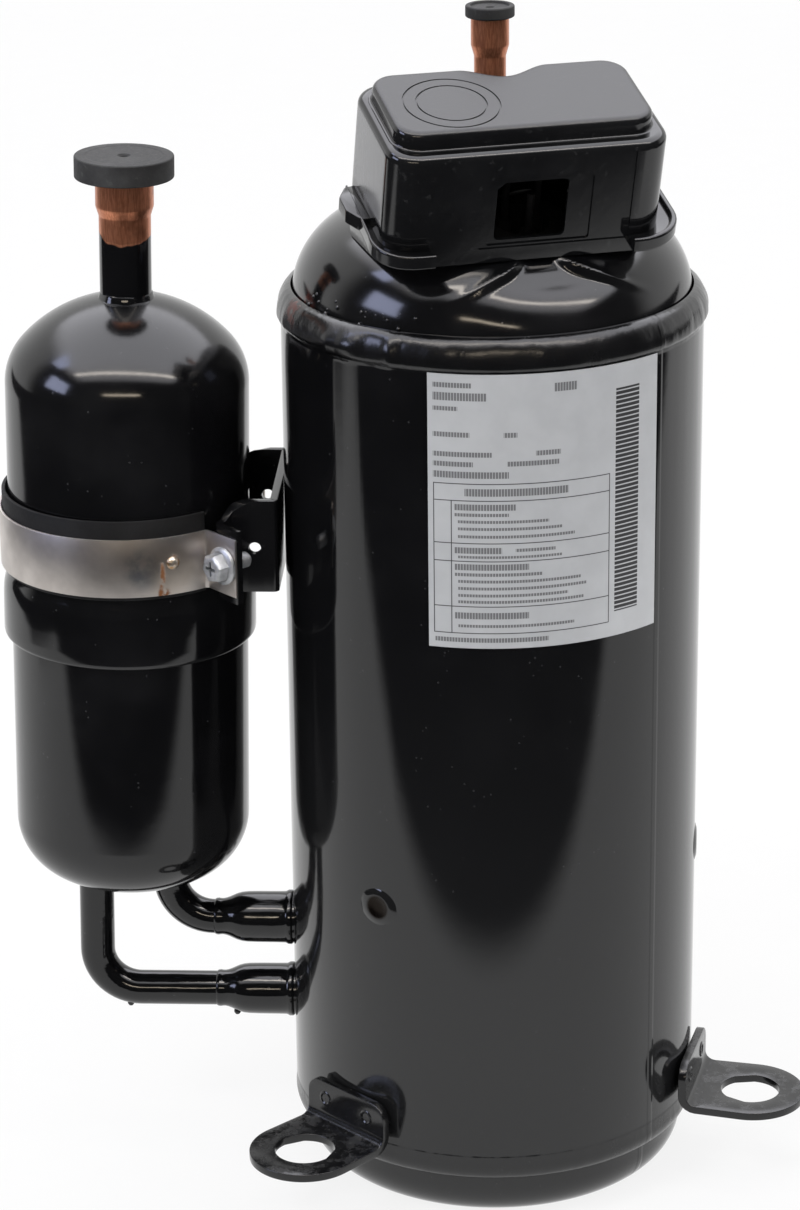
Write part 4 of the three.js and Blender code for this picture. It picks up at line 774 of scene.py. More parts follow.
girths = [
    (-57.5, 8.3), (-64.6, 8.3), (-64.8, 8.6), (-65.2, 8.85), (-66.2, 8.85), (-66.7, 8.6), (-67.2, 8.36),
    (-70.0, 8.3), (-76.0, 8.28), (-79.4, 8.2), (-81.3, 8.0), (-82.8, 7.6), (-84.1, 7.05), (-85.3, 6.5),
    (-86.4, 6.1), (-87.4, 5.88), (-88.2, 5.9), (-88.9, 6.02), (-89.6, 5.95), (-90.1, 5.7), (-90.3, 5.3),
]
for level, lane in lanes.items():
    height = port_levels[level]
    bend_top = height + bend_radius * (1 + sin(vessel_lean))
    bend_x = lane_x(lane, bend_top)
    line = [(lane_x(lane, pipe_top), pipe_top), (bend_x + 0.6 * tan(vessel_lean), bend_top + 0.6)]
    for k in range(17):
        t = (pi / 2 + vessel_lean) * k / 16 - vessel_lean
        x = bend_x + bend_radius * (cos(vessel_lean) - cos(t))
        line.append((x, bend_top - bend_radius * (sin(t) + sin(vessel_lean))))
    line += [(line[-1][0] + 0.6, height), (-88.0, height), (-36.0, height)]
    tube = piped(f"outlet_tube_{level}", [(x, 0, z, pipe_radius) for x, z in line], 48, black_pipe)
    fitted(tube, "housing", "pipe_enamel", f"outlet_pipe_{level}")
    socket = piped(f"suction_socket_{level}", [(x, 0, height, r) for x, r in girths], 56, black_pipe)
    fitted(socket, "housing", "pipe_enamel", f"suction_port_{level}")

# Drips: drops of black enamel that ran down the lower tube and its port after the dip, and
# set there as the enamel was baked.
spot, skin = turned([(0, 1.2), (0.8, 1.0), (1.15, 0.3), (1.1, -0.4), (0.7, -1.0), (0, -1.25)], 20)
drips = [([(x + px, y + py, z + pz) for px, py, pz in spot], skin)
         for x, y, z in ((-118.5, -1.5, 46.1), (-83.6, -1.8, 43.5))]
fitted(shaped("enamel_drips", *joined(*drips), black_pipe), "housing", "pipe_enamel")


# Accumulator: two drawn cups of 1.6 mm steel, the upper one belled over the lower and brazed.
# It leans a little towards the shell, about the middle of its clamp.
def leaned(points):
    """Points of the vessel's own frame where the lean puts them."""
    shift = vessel_x - clamp_middle * tan(vessel_lean)
    c, s = cos(vessel_lean), sin(vessel_lean)
    return [(x * c + z * s + shift, y, z * c - x * s) for x, y, z in points]


vessel_radius, vessel_wall = 37.6, 1.6


def vessel_crown(inset, steps):
    return crowned(vessel_radius, 19.5, 44.0, 258.0, inset, steps)


upper_outline = [
    (37.4, 177.0), (38.4, 177.0), (39.0, 177.25), (39.45, 177.8), (39.6, 178.6), (39.6, 181.5),
    (39.6, 186.0), (39.55, 190.5), (39.35, 193.2), (38.95, 195.2), (38.45, 196.8), (38.05, 198.1),
    (37.75, 199.4), (vessel_radius, 201.0), (vessel_radius, 230.0), (vessel_radius, 250.0),
    *vessel_crown(0, 40)[::-1], *vessel_crown(vessel_wall, 16),
    (36.0, 201.0), (36.0, 198.4), (37.4, 195.2),
]
cup_corner, cup_level, cup_bend = 17.1, 114.5, 20.0
lower_outline = [
    (0, 94.5), (10.0, 94.5), (17.0, 94.5),
    *half_oval(cup_corner, cup_level, cup_bend, cup_bend, -pi / 2, 0, 18),
    (37.1, 130.0), (37.1, 193.0), (35.5, 193.0),
    *half_oval(cup_corner, cup_level, 18.4, 18.4, 0, -pi / 2, 10),
    (0, 96.1),
]


def vessel_wave(angle, radius, height):
    """The slight out-of-round that drawing leaves, so reflections don't run dead straight."""
    return 0.035 * sin(3 * angle + height * 0.02) + 0.02 * sin(7 * angle + 1)


made, colour, rough, height = gloss_enamel("vessel_enamel", dust=0.3)
grit = made.noise(1000, 2) * made.between(made.axis(2), 0.255, 0.275)
black_vessel = made.surface(colour, rough + 0.02 + grit * 0.14, 0.0, made.bump(height + grit * 0.6, 0.013))
points, faces = turned(upper_outline, 192, vessel_wave)
upper_vessel = shaped("accumulator_top", leaned(points), faces, black_vessel)
cut(upper_vessel, rod(8.24, *leaned([(0, 0, 270), (0, 0, 300)])))
fitted(upper_vessel, "housing", "shell_enamel", "accumulator_upper_shell")
points, faces = turned(lower_outline, 192, vessel_wave)
lower_vessel = shaped("accumulator_bottom", leaned(points), faces, black_vessel)
cut(lower_vessel, *[rod(5.86, *leaned([(lane, 0, 88), (lane, 0, 108)])) for lane in lanes.values()])
fitted(lower_vessel, "housing", "shell_enamel", "accumulator_lower_shell")


# Suction stub: 15.88 mm copper tube with a swaged socket, brazed in the dome. The enamel
# runs up it to a wavy line; above that the copper is bare, brown and scratched lengthways.
def copper_tube(name, line_height):
    made, paint, gloss, height = gloss_enamel(name)
    along = made.streaks(2100, 2100, 260, 4)
    stain, fine = made.noise(95, 4), made.noise(700, 3)
    bare = made.tones(along, 0.3, 0.72, (0.46, 0.165, 0.085), (0.7, 0.29, 0.16))
    bare = made.mixed(made.between(stain, 0.52, 0.72) * 0.65, bare, (0.13, 0.042, 0.022))
    bare = made.mixed(made.between(fine, 0.64, 0.74) * 0.5, bare, (0.6, 0.27, 0.16))
    edge = made.axis(2) + (made.noise(90, 2) - 0.5) * 0.009 - made.axis(1) * 0.22
    clean = made.between(edge, (line_height - 0.45) * mm, (line_height + 0.35) * mm)
    colour = made.mixed(clean, paint, bare)
    rough = gloss * (1 - clean) + clean * (0.3 + 0.1 * along)
    relief = made.bump(height * 0.6, 0.012)
    relief = made.bump(along * 0.06 + fine * 0.1 - clean * 1.2, 0.04, relief)
    return made.surface(colour, rough, clean * 0.85, relief)


def stubbed(name, sizes, place, material):
    """A tube with a swaged socket at its top, and a braze fillet round its foot."""
    radius, wall, bottom, neck, flare, flare_radius, top, foot = sizes
    outer = rounded([
        (radius - wall, bottom, 0), (radius, bottom, 0), (radius, neck, 2.6), (flare_radius, flare, 2.2),
        (flare_radius, top, 0.3), (flare_radius - wall, top, 0.3), (flare_radius - wall, flare, 1.5),
        (radius - wall, neck, 1.5),
    ])
    steps = ((-0.3, -2.6), (0.95, -2.1), (0.6, -1.4), (0.3, -0.6), (0.1, 0.2), (-0.3, 0.6))
    fillet = [(radius + out, foot + rise) for out, rise in steps]
    points, faces = joined(turned(outer, 96), turned(fillet, 96, fillet_wave))
    return shaped(name, place(points), faces, material)


def fillet_wave(angle, radius, height):
    return 0.12 * sin(3 * angle + 1) + 0.08 * sin(8 * angle)


inlet_sizes = (7.94, 1.1, 276, 310.49, 313.49, 8.9, 322.0, 286.2)
inlet = stubbed("suction_stub", inlet_sizes, leaned, copper_tube("inlet_copper", 305.6))
fitted(inlet, "housing", "copper_tube", "suction_inlet_pipe")


# Shipping plugs: soft black rubber caps, pushed on the two stubs to keep dirt out. They are
# dull and dusty, each with a blind hole in its top.
def plug_rubber(name, light):
    made = Finish(name)
    skin, blotch = made.noise(1300, 3), made.noise(120, 4)
    dust = made.between(made.noise(500, 3), 0.58, 0.75)
    colour = made.tones(blotch, 0.35, 0.7, (0.012 * light,) * 3, (0.026 * light,) * 3)
    colour = made.mixed(dust * 0.35, colour, (0.09, 0.088, 0.085))
    return made.surface(colour, 0.62 + 0.25 * skin, 0.0, made.bump(skin + blotch, 0.05))


def plug_outline(radius, thick, stem_radius, stem, hole, deep, seat, dish):
    top = seat + thick
    return rounded([
        (0, seat - stem, 0), (stem_radius, seat - stem, 0.6), (stem_radius, seat, 0.2), (radius, seat, 0.5),
        (radius, top, 0.55), (radius * 0.8, top, 0.3), (radius * 0.76, top - dish, 0.3),
        (hole + 0.5, top - dish, 0.3), (hole, top - dish - 0.6, 0), (hole, top - deep, 0), (0, top - deep, 0),
    ])


points, faces = turned(plug_outline(15.2, 6.8, 7.5, 8.0, 1.6, 5.0, 322.3, 0.15), 128)
inlet_plug = shaped("suction_cap", leaned(points), faces, plug_rubber("plug_rubber", 1.25))
fitted(inlet_plug, "inlet_plug", "plug_rubber", "suction_plug")

# Discharge stub and its plug: 9.52 mm copper tube with a swaged socket, brazed in the crown
# of the dome behind the terminal and closed by the smaller cap.
def on_crown(points):
    return [(x - 0.4, y - 2.0, z) for x, y, z in points]


discharge_sizes = (4.76, 0.8, 300, 359.8, 363.1, 5.7, 371.2, 314.6)
discharge = stubbed("discharge_stub", discharge_sizes, on_crown, copper_tube("discharge_copper", 320.0))
fitted(discharge, "housing", "copper_tube", "discharge_pipe")
points, faces = turned(plug_outline(7.35, 3.5, 4.6, 8.0, 0.9, 2.4, 371.5, 0.75), 96)
outlet_plug = shaped("discharge_cap", on_crown(points), faces, plug_rubber("small_plug_rubber", 1.1))
fitted(outlet_plug, "outlet_plug", "plug_rubber", "discharge_plug")


# Clamp: a rubber pad, a stainless band with a turned-out ear at each end, the enamelled
# bracket that the ears grip, and a zinc-plated screw through the front ear.
pad_inner, band_inner = 38.0, 39.5
band_wall, pad_wall = 0.8, 1.2
band_middle, clamp_turn = band_inner + band_wall / 2, radians(46.5)
band_outer = band_inner + band_wall


def ear_point(along, across, side):
    """A point along and across an ear, in the vessel's plan; side 1 is the front ear."""
    return (
        along * cos(clamp_turn) + across * sin(clamp_turn),
        -side * (along * sin(clamp_turn) - across * cos(clamp_turn)),
    )


def round_line(radius, first, last, steps):
    turns = [first + (last - first) * k / steps for k in range(steps + 1)]
    return [(radius * cos(t), radius * sin(t)) for t in turns]


def eased_bends(line, bend):
    """The line with each of its corners rounded to a bend radius."""
    eased_line = [line[0]]
    for before, here, after in zip(line, line[1:], line[2:]):
        a, b, p = Vector(before), Vector(after), Vector(here)
        turn = abs((p - a).angle(b - p, 0.0))
        if turn < radians(8):
            eased_line.append(here)
            continue
        reach = min(bend * tan(turn / 2), (a - p).length * 0.45, (b - p).length * 0.45)
        start, end = p + (a - p).normalized() * reach, p + (b - p).normalized() * reach
        for t in (0, 0.2, 0.4, 0.6, 0.8, 1):
            eased_line.append(tuple((start * (1 - t) + p * t) * (1 - t) + (p * (1 - t) + end * t) * t))
    return eased_line + [line[-1]]


def aside(line, width, closed=False):
    """The line moved to its left by a width, point by point, square to itself."""
    moved, last = [], len(line) - 1
    for i, (x, y) in enumerate(line):
        before, after = (i - 1, (i + 1) % len(line)) if closed else (max(i - 1, 0), min(i + 1, last))
        along = (Vector(line[after]) - Vector(line[before])).normalized()
        moved.append((x - along.y * width, y + along.x * width))
    return moved


def bent_strip(name, line, thick, bottom, top, material, bevel=0.2, bend=1.2, dip=None):
    """A strip on edge along a plan line, every bend rounded, its edges broken."""
    line = eased_bends(line, bend)
    ring = aside(line, -thick / 2) + aside(line, thick / 2)[::-1]
    low = [(x + vessel_x, y, bottom) for x, y in ring]
    high = [(x + vessel_x, y, top - (dip(x, y) if dip else 0)) for x, y in ring]
    points, faces = stacked([low, high], ends=False)
    count = len(ring)
    for k in range(len(line) - 1):
        strip = [k, k + 1, count - 2 - k, count - 1 - k]
        faces += [strip, [i + count for i in strip]]
    return bevelled(shaped(name, points, faces, material), bevel, 2)


def pad_rubber():
    made = Finish("pad_rubber")
    skin, blotch = made.noise(1100, 3), made.noise(90, 3)
    colour = made.tones(blotch, 0.35, 0.7, (0.004, 0.004, 0.0042), (0.009, 0.009, 0.0095))
    return made.surface(colour, 0.55 + 0.25 * skin, 0.0, made.bump(skin, 0.03), Specular_IOR_Level=0.3)


def band_steel():
    made = Finish("band_steel")
    grain = made.streaks(60, 60, 2600, 4)
    cloud, patch = made.noise(42, 4), made.noise(24, 2)
    colour = made.tones(cloud, 0.35, 0.68, (0.5, 0.46, 0.43), (0.72, 0.67, 0.63))
    colour = made.mixed(made.between(patch, 0.5, 0.66) * 0.7, colour, (0.4, 0.4, 0.42))
    dark = made.near((-104.5, -40.0, 210), 3.0, 5.0) * made.between(made.noise(160, 4), 0.35, 0.62)
    colour = made.mixed(dark * 0.75, colour, (0.2, 0.22, 0.25))
    trail = made.axis(0) + (made.noise(120, 2) - 0.5) * 0.004
    run = made.between((trail + 0.0992).math("ABSOLUTE"), 0.0012, 0.0003)
    run = run * made.between(made.axis(2), 0.2125, 0.2105) * made.between(made.noise(240, 3), 0.42, 0.58)
    foot = made.near((-98.6, -37.6, 201.6), 0.6, 1.9) * made.between(made.noise(500, 3), 0.4, 0.55)
    halo = made.near((-96.1, -36.9, 211.0), 2.4, 1.2) * made.between(made.noise(300, 3), 0.5, 0.62)
    rust = run.math("MAXIMUM", foot).math("MAXIMUM", halo * 0.8)
    haze = made.near((-96.0, -36.5, 209), 5.0, 6.0) * 0.35
    colour = made.mixed(haze, colour, (0.46, 0.37, 0.27))
    colour = made.mixed(rust, colour, (0.2, 0.075, 0.02))
    return made.surface(colour, 0.34 + 0.16 * grain + rust * 0.3, 1.0 - rust * 0.7, made.bump(grain, 0.014))


black_rubber, steel_band = pad_rubber(), band_steel()
pad_line = round_line(pad_inner + pad_wall / 2, radians(47), radians(313), 150)
pad = bent_strip("clamp_cushion", pad_line, pad_wall, 199.7, 225.1, black_rubber, 0.3)
fitted(pad, "housing", "pad_rubber", "clamp_pad")
bracket_wall = 2.3
ear_end = band_middle + 14.2
hook = bracket_wall + band_wall + 0.6
band_line = [
    ear_point(ear_end, -band_wall / 2, 1), ear_point(band_middle + 1.0, -band_wall / 2, 1),
    *round_line(band_middle, 2 * pi - clamp_turn - 0.03, clamp_turn + 0.03, 150),
    ear_point(band_middle + 1.0, -band_wall / 2, -1), ear_point(ear_end, -band_wall / 2, -1),
    ear_point(ear_end, hook - band_wall / 2, -1), ear_point(ear_end - 3.4, hook - band_wall / 2, -1),
]
band_low, band_high = clamp_middle - 9.25, clamp_middle + 9.25
band = bent_strip("clamp_band", band_line, band_wall, band_low, band_high, steel_band, 0.12)
screw_along, screw_hole = band_outer + 8.4, 2.7
screw_out = Vector((-sin(clamp_turn), -cos(clamp_turn), 0))
screw_seat = Vector((*ear_point(screw_along, 0, 1), clamp_middle)) + Vector((vessel_x, 0, 0))
cut(band, rod(screw_hole, screw_seat - screw_out * 4, screw_seat + screw_out * 4))
fitted(band, "housing", "strap_steel", "clamp_strap")

# Rivet of the band: a round steel head pressed down at the left of its front, and stained
# with rust where water has stood under it.
rivet_outline = [
    (0, -0.6), (2.1, -0.6), (2.1, 0.1), (1.95, 0.5), (1.6, 0.9), (1.1, 1.2), (0.5, 1.36), (0, 1.4),
]
made = Finish("rivet_steel")
stain = made.noise(600, 3)
colour = made.mixed(made.between(stain, 0.4, 0.65), (0.62, 0.56, 0.48), (0.36, 0.2, 0.08))
rivet_finish = made.surface(colour, 0.25 + 0.2 * stain, 0.9, made.bump(stain, 0.01))
spot, skin = turned(rivet_outline, 32)
place, c, s = [], cos(radians(-64.5)), sin(radians(-64.5))
for x, y, z in spot:
    out = band_outer + z
    place.append((out * c - x * s + vessel_x, out * s + x * c, clamp_middle + 0.9 + y))
fitted(shaped("band_rivet", place, skin, rivet_finish), "housing", "strap_steel")

made, colour, rough, height = gloss_enamel("bracket_enamel")
black_bracket = made.surface(colour, rough + 0.05, 0.0, made.bump(height, 0.014))
half = bracket_wall / 2
web_x, arm_y = -vessel_x - shell_radius - 0.3 - half, 25.4
arm_start = sqrt((band_outer + 0.3 + half) ** 2 - arm_y**2) + half
ear_base = band_outer + 0.3 + half + band_wall
ear_line = [
    ear_point(ear_end - band_wall / 2 - 0.3, 0.3 + half, 1), ear_point(ear_base, 0.3 + half, 1),
    *[(arm_start + (web_x - arm_start) * k / 8, -arm_y) for k in range(9)],
    *[(web_x - (web_x - arm_start) * k / 8, arm_y) for k in range(9)],
    ear_point(ear_base, 0.3 + half, -1), ear_point(ear_end - band_wall / 2 - 0.3, 0.3 + half, -1),
]


def ear_dip(x, y):
    """How far the bracket's top edge drops from its arms to its ears."""
    return 5.95 * (1 - eased(x - 1.5 * (abs(y) - arm_y), 27.0, 41.0))


bracket = bent_strip(
    "accumulator_yoke", ear_line, bracket_wall, 198.5, 227.8, black_bracket, 0.35, 4.0, ear_dip
)
holes = [rod(screw_hole, screw_seat - screw_out * 8, screw_seat + screw_out * 4)]
for side in (-1, 1):
    x = web_x - 6.0 + vessel_x
    holes.append(rod(1.9, (x, side * arm_y - 5, 212.65), (x, side * arm_y + 5, 212.65), 32))
cut(bracket, *holes)
fitted(bracket, "housing", "bracket_enamel", "accumulator_bracket")


def zinc_plate():
    made = Finish("zinc_plate")
    grain, bloom = made.noise(700, 3), made.noise(240, 4)
    colour = made.tones(bloom, 0.35, 0.7, (0.42, 0.43, 0.44), (0.66, 0.67, 0.69))
    return made.surface(colour, 0.4 + 0.2 * grain, 0.85, made.bump(grain + bloom, 0.03))


zinc = zinc_plate()
screw_outline = rounded([
    (0, -10, 0), (1.2, -10, 0.2), (2.4, -8.8, 0.2), (2.4, 0.0, 0.1),
    (5.9, 0.0, 0.15), (5.9, 0.9, 0.4), (4.9, 1.45, 0.3), (0, 1.5, 0),
])
screw = shaped("clamp_bolt", *turned(screw_outline, 64), zinc)
rings = []
for reach, z in ((4.5, 0.6), (4.6, 1.2), (4.6, 4.1), (4.35, 4.75), (3.9, 5.05), (3.2, 5.1)):
    rings.append([(reach * cos(pi / 3 * k + 0.23), reach * sin(pi / 3 * k + 0.23), z) for k in range(6)])
head = shaped("screw_head", *stacked(rings), zinc)
cross = []
for x, y in ((2.3, 0.5), (0.5, 2.3)):
    cross.append(cutter(*stacked([[(-x, -y, z), (x, -y, z), (x, y, z), (-x, y, z)] for z in (3.0, 9.0)])))
cut(head, *cross)
both = bmesh.new()
both.from_mesh(screw.data)
both.from_mesh(head.data)
both.to_mesh(screw.data)
both.free()
smooth(screw.data)
bpy.data.objects.remove(head)
facing = screw_out.to_track_quat("Z", "Y").to_matrix().to_4x4()
seat_at = screw_seat + screw_out * (band_wall + 0.3)
screw.data.transform(Matrix.Translation(seat_at * mm) @ facing)
fitted(screw, "screw", "screw_zinc", "clamp_screw")


# Rating plate: a thin silver film bent round the shell. It is generic: a ruled frame, plain
# grey bars in place of words, and a ladder of even strips down its right side.
plate_low, plate_high, plate_face = 195.1, 279.8, shell_radius + 0.65
plate_first, plate_last = radians(-90 - 15.5), radians(-90 + 49.6)


def plate_sheet():
    corners = [(r, z) for r in (plate_face - 0.35, plate_face) for z in (plate_low, plate_high)]
    turns = [plate_first + (plate_last - plate_first) * k / 64 for k in range(65)]
    return stacked([[(r * cos(t), r * sin(t), z) for r, z in (*corners[:2], *corners[:1:-1])] for t in turns])


def plate_print():
    """Everything is in millimetres across and down from the plate's upper left corner."""
    made = Finish("plate_print")
    angle = made.axis(1).math("ARCTAN2", made.axis(0))
    across = (angle - plate_first) * plate_face
    down = (plate_high * mm - made.axis(2)) * 1000

    def bar(left, right, top, bottom, soft=0.07):
        wide = made.span(across, left + soft, right - soft, 2 * soft)
        return wide * made.span(down, top + soft, bottom - soft, 2 * soft)

    rules = None
    for level in (33.2, 38.4, 51.6, 57.2, 71.4, 79.8):
        one = bar(1.6, 55.6, level, level + 0.28)
        rules = one if rules is None else rules.math("MAXIMUM", one)
    for x in (1.6, 6.9, 55.4):
        rules = rules.math("MAXIMUM", bar(x, x + 0.28, 33.2 if x != 6.9 else 38.4, 80.0))
    words = None
    lines = (
        (1.6, 13.0, 2.6, 1.5), (1.6, 17.5, 5.6, 2.4), (1.6, 9.0, 9.8, 1.3), (1.6, 12.5, 17.6, 1.5),
        (22.5, 26.5, 17.6, 1.5), (1.6, 19.0, 23.6, 1.5), (32.0, 39.5, 23.4, 1.5), (1.6, 13.5, 26.6, 1.5),
        (23.5, 39.0, 26.4, 1.5), (1.6, 24.0, 29.6, 2.0), (37.5, 44.5, 3.2, 2.6), (11.0, 42.0, 34.8, 2.3),
        (8.0, 26.0, 39.6, 1.9), (8.0, 24.0, 42.4, 1.0), (9.0, 36.0, 44.6, 0.9), (9.0, 40.0, 46.8, 0.9),
        (9.0, 44.0, 49.2, 0.9), (8.0, 22.0, 53.0, 1.9), (26.0, 38.0, 53.4, 1.0), (9.0, 40.0, 55.6, 0.8),
        (8.0, 30.0, 58.2, 1.9), (8.0, 34.0, 61.0, 1.0), (9.0, 46.0, 63.2, 0.9), (9.0, 48.0, 65.4, 0.9),
        (9.0, 42.0, 67.6, 0.9), (9.0, 47.0, 69.6, 0.9), (8.0, 30.0, 73.4, 2.0), (9.0, 44.0, 77.2, 0.9),
        (2.0, 36.0, 81.4, 1.4),
    )
    for left, right, top, tall in lines:
        one = bar(left, right, top, top + tall)
        words = one if words is None else words.math("MAXIMUM", one)
    breaks = made.between((across * 1.15).math("FRACT"), 0.12, 0.3)
    ladder_line = made.between(((down * 0.72).math("FRACT") - 0.5).math("ABSOLUTE"), 0.4, 0.32)
    ladder = bar(57.6, 66.4, 7.5, 77.0) * ladder_line
    wear = made.noise(120, 3)
    silver = made.tones(wear, 0.3, 0.75, (0.56, 0.57, 0.58), (0.6, 0.61, 0.62))
    colour = made.mixed(words * breaks * 0.8, silver, (0.1, 0.1, 0.104))
    colour = made.mixed(rules.math("MAXIMUM", ladder), colour, (0.05, 0.05, 0.052))
    foil = made.streaks(300, 300, 300, 2)
    return made.surface(colour, 0.34 + 0.08 * wear, 0.35, made.bump(foil, 0.006))


plate = shaped("silver_plate", *plate_sheet(), plate_print())
fitted(plate, "housing", "plate_silver", "rating_plate")


# Terminal cover: moulded in satin black plastic, a deep box with a raised top that is notched
# behind for the discharge stub, a cable window in front, a rim round its foot and an ear.
cover_shift = (-3.2, 0.6)
seat_place = seat_origin + seat_across * cover_shift[0] + seat_back * cover_shift[1]


def corner_arc(x, y, radius, first):
    turns = [first + pi / 2 * k / 10 for k in range(11)]
    return [(x + radius * cos(t), y + radius * sin(t)) for t in turns]


def cover_plan(left, right, front, back, corner):
    """Plan of the cover, round its corners and down into the notch, the same count each time."""
    plan = corner_arc(right - corner, front + corner, corner, -pi / 2)
    plan += corner_arc(right - corner, back - corner, corner, 0)
    wide, deep = 13.6, 5.3
    for k in range(25):
        t = k / 24
        plan.append((wide - 2 * wide * t, back - deep * eased(1 - abs(2 * t - 1), 0.0, 1.0)))
    plan += corner_arc(left + corner, back - corner, corner, pi / 2)
    return plan + corner_arc(left + corner, front + corner, corner, pi)


cover_front, cover_top, cover_wall, step_level = -19.2, 42.0, 2.2, 36.6
box_plan = cover_plan(-43.7, 40.9, cover_front, 27.0, 9.0)
top_plan = cover_plan(-40.7, 37.1, -14.4, 22.3, 7.5)


def foot_level(x, y):
    """Where the cover's foot ends: flat at the front, and down to just above the dome behind."""
    inner, rise = cap_radius - dome_knuckle, dome_crown - dome_knuckle
    lean = asin(inner / rise)
    centre, gap, front_level = dome_level - rise * cos(lean), 0.6, 0.4
    height = front_level
    for _ in range(14):
        place = seat_place + seat_across * x + seat_back * y + seat_up * height
        out = hypot(place.x, place.y)
        if atan2(out, place.z - centre) < lean:
            height -= hypot(out, place.z - centre) - dome_crown - gap
        else:
            height -= hypot(out - inner, place.z - dome_level) - dome_knuckle - gap
    return front_level + (min(height, front_level) - front_level) * eased(y, -14.0, 2.0)


def rounding(plan, top, radius):
    """Rings of the plan's upper edge, rounded up to a level."""
    turns = [pi / 2 * k / 7 for k in range(8)]
    return [(plan, radius * (1 - cos(t)), top - radius + radius * sin(t)) for t in turns]


def cover_body():
    """The cover from the underside of its top, down inside, and up again outside."""
    feet = [foot_level(x, y) for x, y in box_plan]
    raised = [foot + 0.3 for foot in feet]
    under, ledge, edge = cover_top - cover_wall, step_level - cover_wall, 2.6
    turns = [pi / 8 * k for k in range(1, 5)]
    rings = [
        (top_plan, 2.5, under), (top_plan, cover_wall, under), (top_plan, cover_wall, ledge),
        (box_plan, 2.4, ledge), (box_plan, cover_wall, ledge - 0.4), (box_plan, cover_wall, 1.2),
        (box_plan, cover_wall, raised), (box_plan, 2.0, feet), (box_plan, 0.3, feet),
        (box_plan, 0.0, raised), (box_plan, 0.0, 1.2), (box_plan, 0.0, step_level - edge - 0.2),
        *rounding(box_plan, step_level, edge),
        (box_plan, edge + 0.25, step_level), (top_plan, -1.0, step_level), (top_plan, -0.75, step_level),
        *[(top_plan, 0.75 * (sin(t) - 1), step_level + 0.75 * (1 - cos(t))) for t in turns],
        (top_plan, 0.0, cover_top - 2.3), *rounding(top_plan, cover_top, 2.1), (top_plan, 2.4, cover_top),
    ]
    lines = []
    for plan, inset, level in rings:
        levels = level if isinstance(level, list) else [level] * len(plan)
        lines.append([(x, y, z) for (x, y), z in zip(aside(plan, inset, True), levels)])
    return shaped("cover_moulding", *stacked(lines), cover_plastic)


def moulded_plastic():
    """Polished sides, a sparked, dull top found by its height over the seat, and a painted reflection of the
    white backdrop on the left end.
    """
    made = Finish("cover_plastic")
    skin, cloud, rub = made.noise(2100, 2), made.noise(34, 4), made.streaks(90, 700, 90, 4)
    side, back, rise = [made.vector("DOT_PRODUCT", tuple(v), 1) for v in (seat_across, seat_back, seat_up)]
    middle, centre, seat = [seat_place.dot(v) for v in (seat_across, seat_back, seat_up)]

    def past(value, low, high):
        return made.between(value, low * mm, high * mm)

    dull = past(rise, seat + 40.9, seat + 41.8)
    dust = made.between(made.noise(420, 2), 0.63, 0.72)
    colour = made.tones(cloud, 0.35, 0.7, (0.0045, 0.0046, 0.005), (0.008, 0.0081, 0.0086))
    colour = made.mixed(dull, colour, (0.026, 0.026, 0.0275))
    colour = made.mixed(dust * 0.25, colour, (0.04, 0.04, 0.04))
    # Painted reflection: the left end of the box, between two heights, is painted light grey and streaked by
    # the rub noise, standing in for the white backdrop it mirrors at a grazing angle. It is also a little
    # rougher there.
    left_face_reflection = past(side, middle - 38.0, middle - 39.0) * past(back, centre - 12.0, centre - 10.4)
    left_face_reflection = left_face_reflection * past(rise, seat + 10.0, seat + 12.0) * past(rise, seat + 35.5, seat + 33.0)
    colour = made.mixed(left_face_reflection * (0.7 + 0.3 * rub), colour, (0.13, 0.13, 0.135))
    gloss = 0.06 + 0.04 * made.between(cloud, 0.4, 0.7) + 0.05 * made.between(rub, 0.5, 0.7)
    relief = made.bump(skin * (0.15 + 0.85 * dull) + rub * 0.3, 0.02)
    return made.surface(colour, gloss * (1 - dull) + 0.38 * dull + 0.12 * left_face_reflection, 0.0, relief)


def front_cut(corners, depth):
    """A cutter from an outline (u, w, radius) in the front wall, to a depth behind its face."""
    levels = (-26.0, cover_front + depth)
    return cutter(*stacked([[(x, y, z) for x, z in rounded(corners)] for y in levels]))


def dial_ring(radius, wide=0.55, deep=0.4):
    low, high = cover_top - deep, cover_top + 5
    points, faces = turned([(radius - wide, low), (radius, low), (radius, high), (radius - wide, high)], 96)
    return cutter([(x - 20.7, y + 2.3, z) for x, y, z in points], faces)


cover_plastic = moulded_plastic()
cover = cover_body()
panel = [
    (-16.1, 5.2, 0.6), (13.4, 5.2, 0), (29.8, 5.2, 0.6), (29.8, 34.0, 0.6),
    (13.4, 34.0, 0.6), (13.4, 28.6, 0.5), (-12.6, 28.6, 2.0), (-16.1, 24.6, 1.2),
]
inner_panel = [
    (-13.6, 6.0, 0.8), (17.6, 6.0, 0.8), (17.6, 27.6, 1.6), (-10.6, 27.6, 2.0), (-13.6, 24.6, 1.0),
]
window = [
    (-11.3, 7.3, 1.6), (10.2, 7.3, 1.6), (10.2, 25.6, 0.5),
    (8.6, 26.2, 0.4), (-9.0, 26.2, 0.4), (-11.3, 24.2, 0.6),
]
openings = [front_cut(panel, 0.5), front_cut(inner_panel, 1.1), front_cut(window, 5.0)]
cut(cover, *openings, dial_ring(14.4), dial_ring(10.5))


def strip_along(line, section, reach):
    """A small section (outwards, height) run along an open plan line, with a reach at each point."""
    rings = []
    for (x, y), (far_x, far_y), share in zip(line, aside(line, -1.0), reach):
        wide, deep = (far_x - x) * share, (far_y - y) * share
        rings.append([(x + wide * out, y + deep * out, z) for out, z in section])
    return stacked(rings)


def slab(outline, low, high, chamfer=0.5):
    """A plate from a plan outline, its top and bottom edges broken."""
    rings = ((chamfer, low), (0.0, low + chamfer), (0.0, high - chamfer))
    rings += ((chamfer * 0.3, high - chamfer * 0.3), (chamfer, high))
    return stacked([[(x, y, z) for x, y in aside(outline, inset, True)] for inset, z in rings])


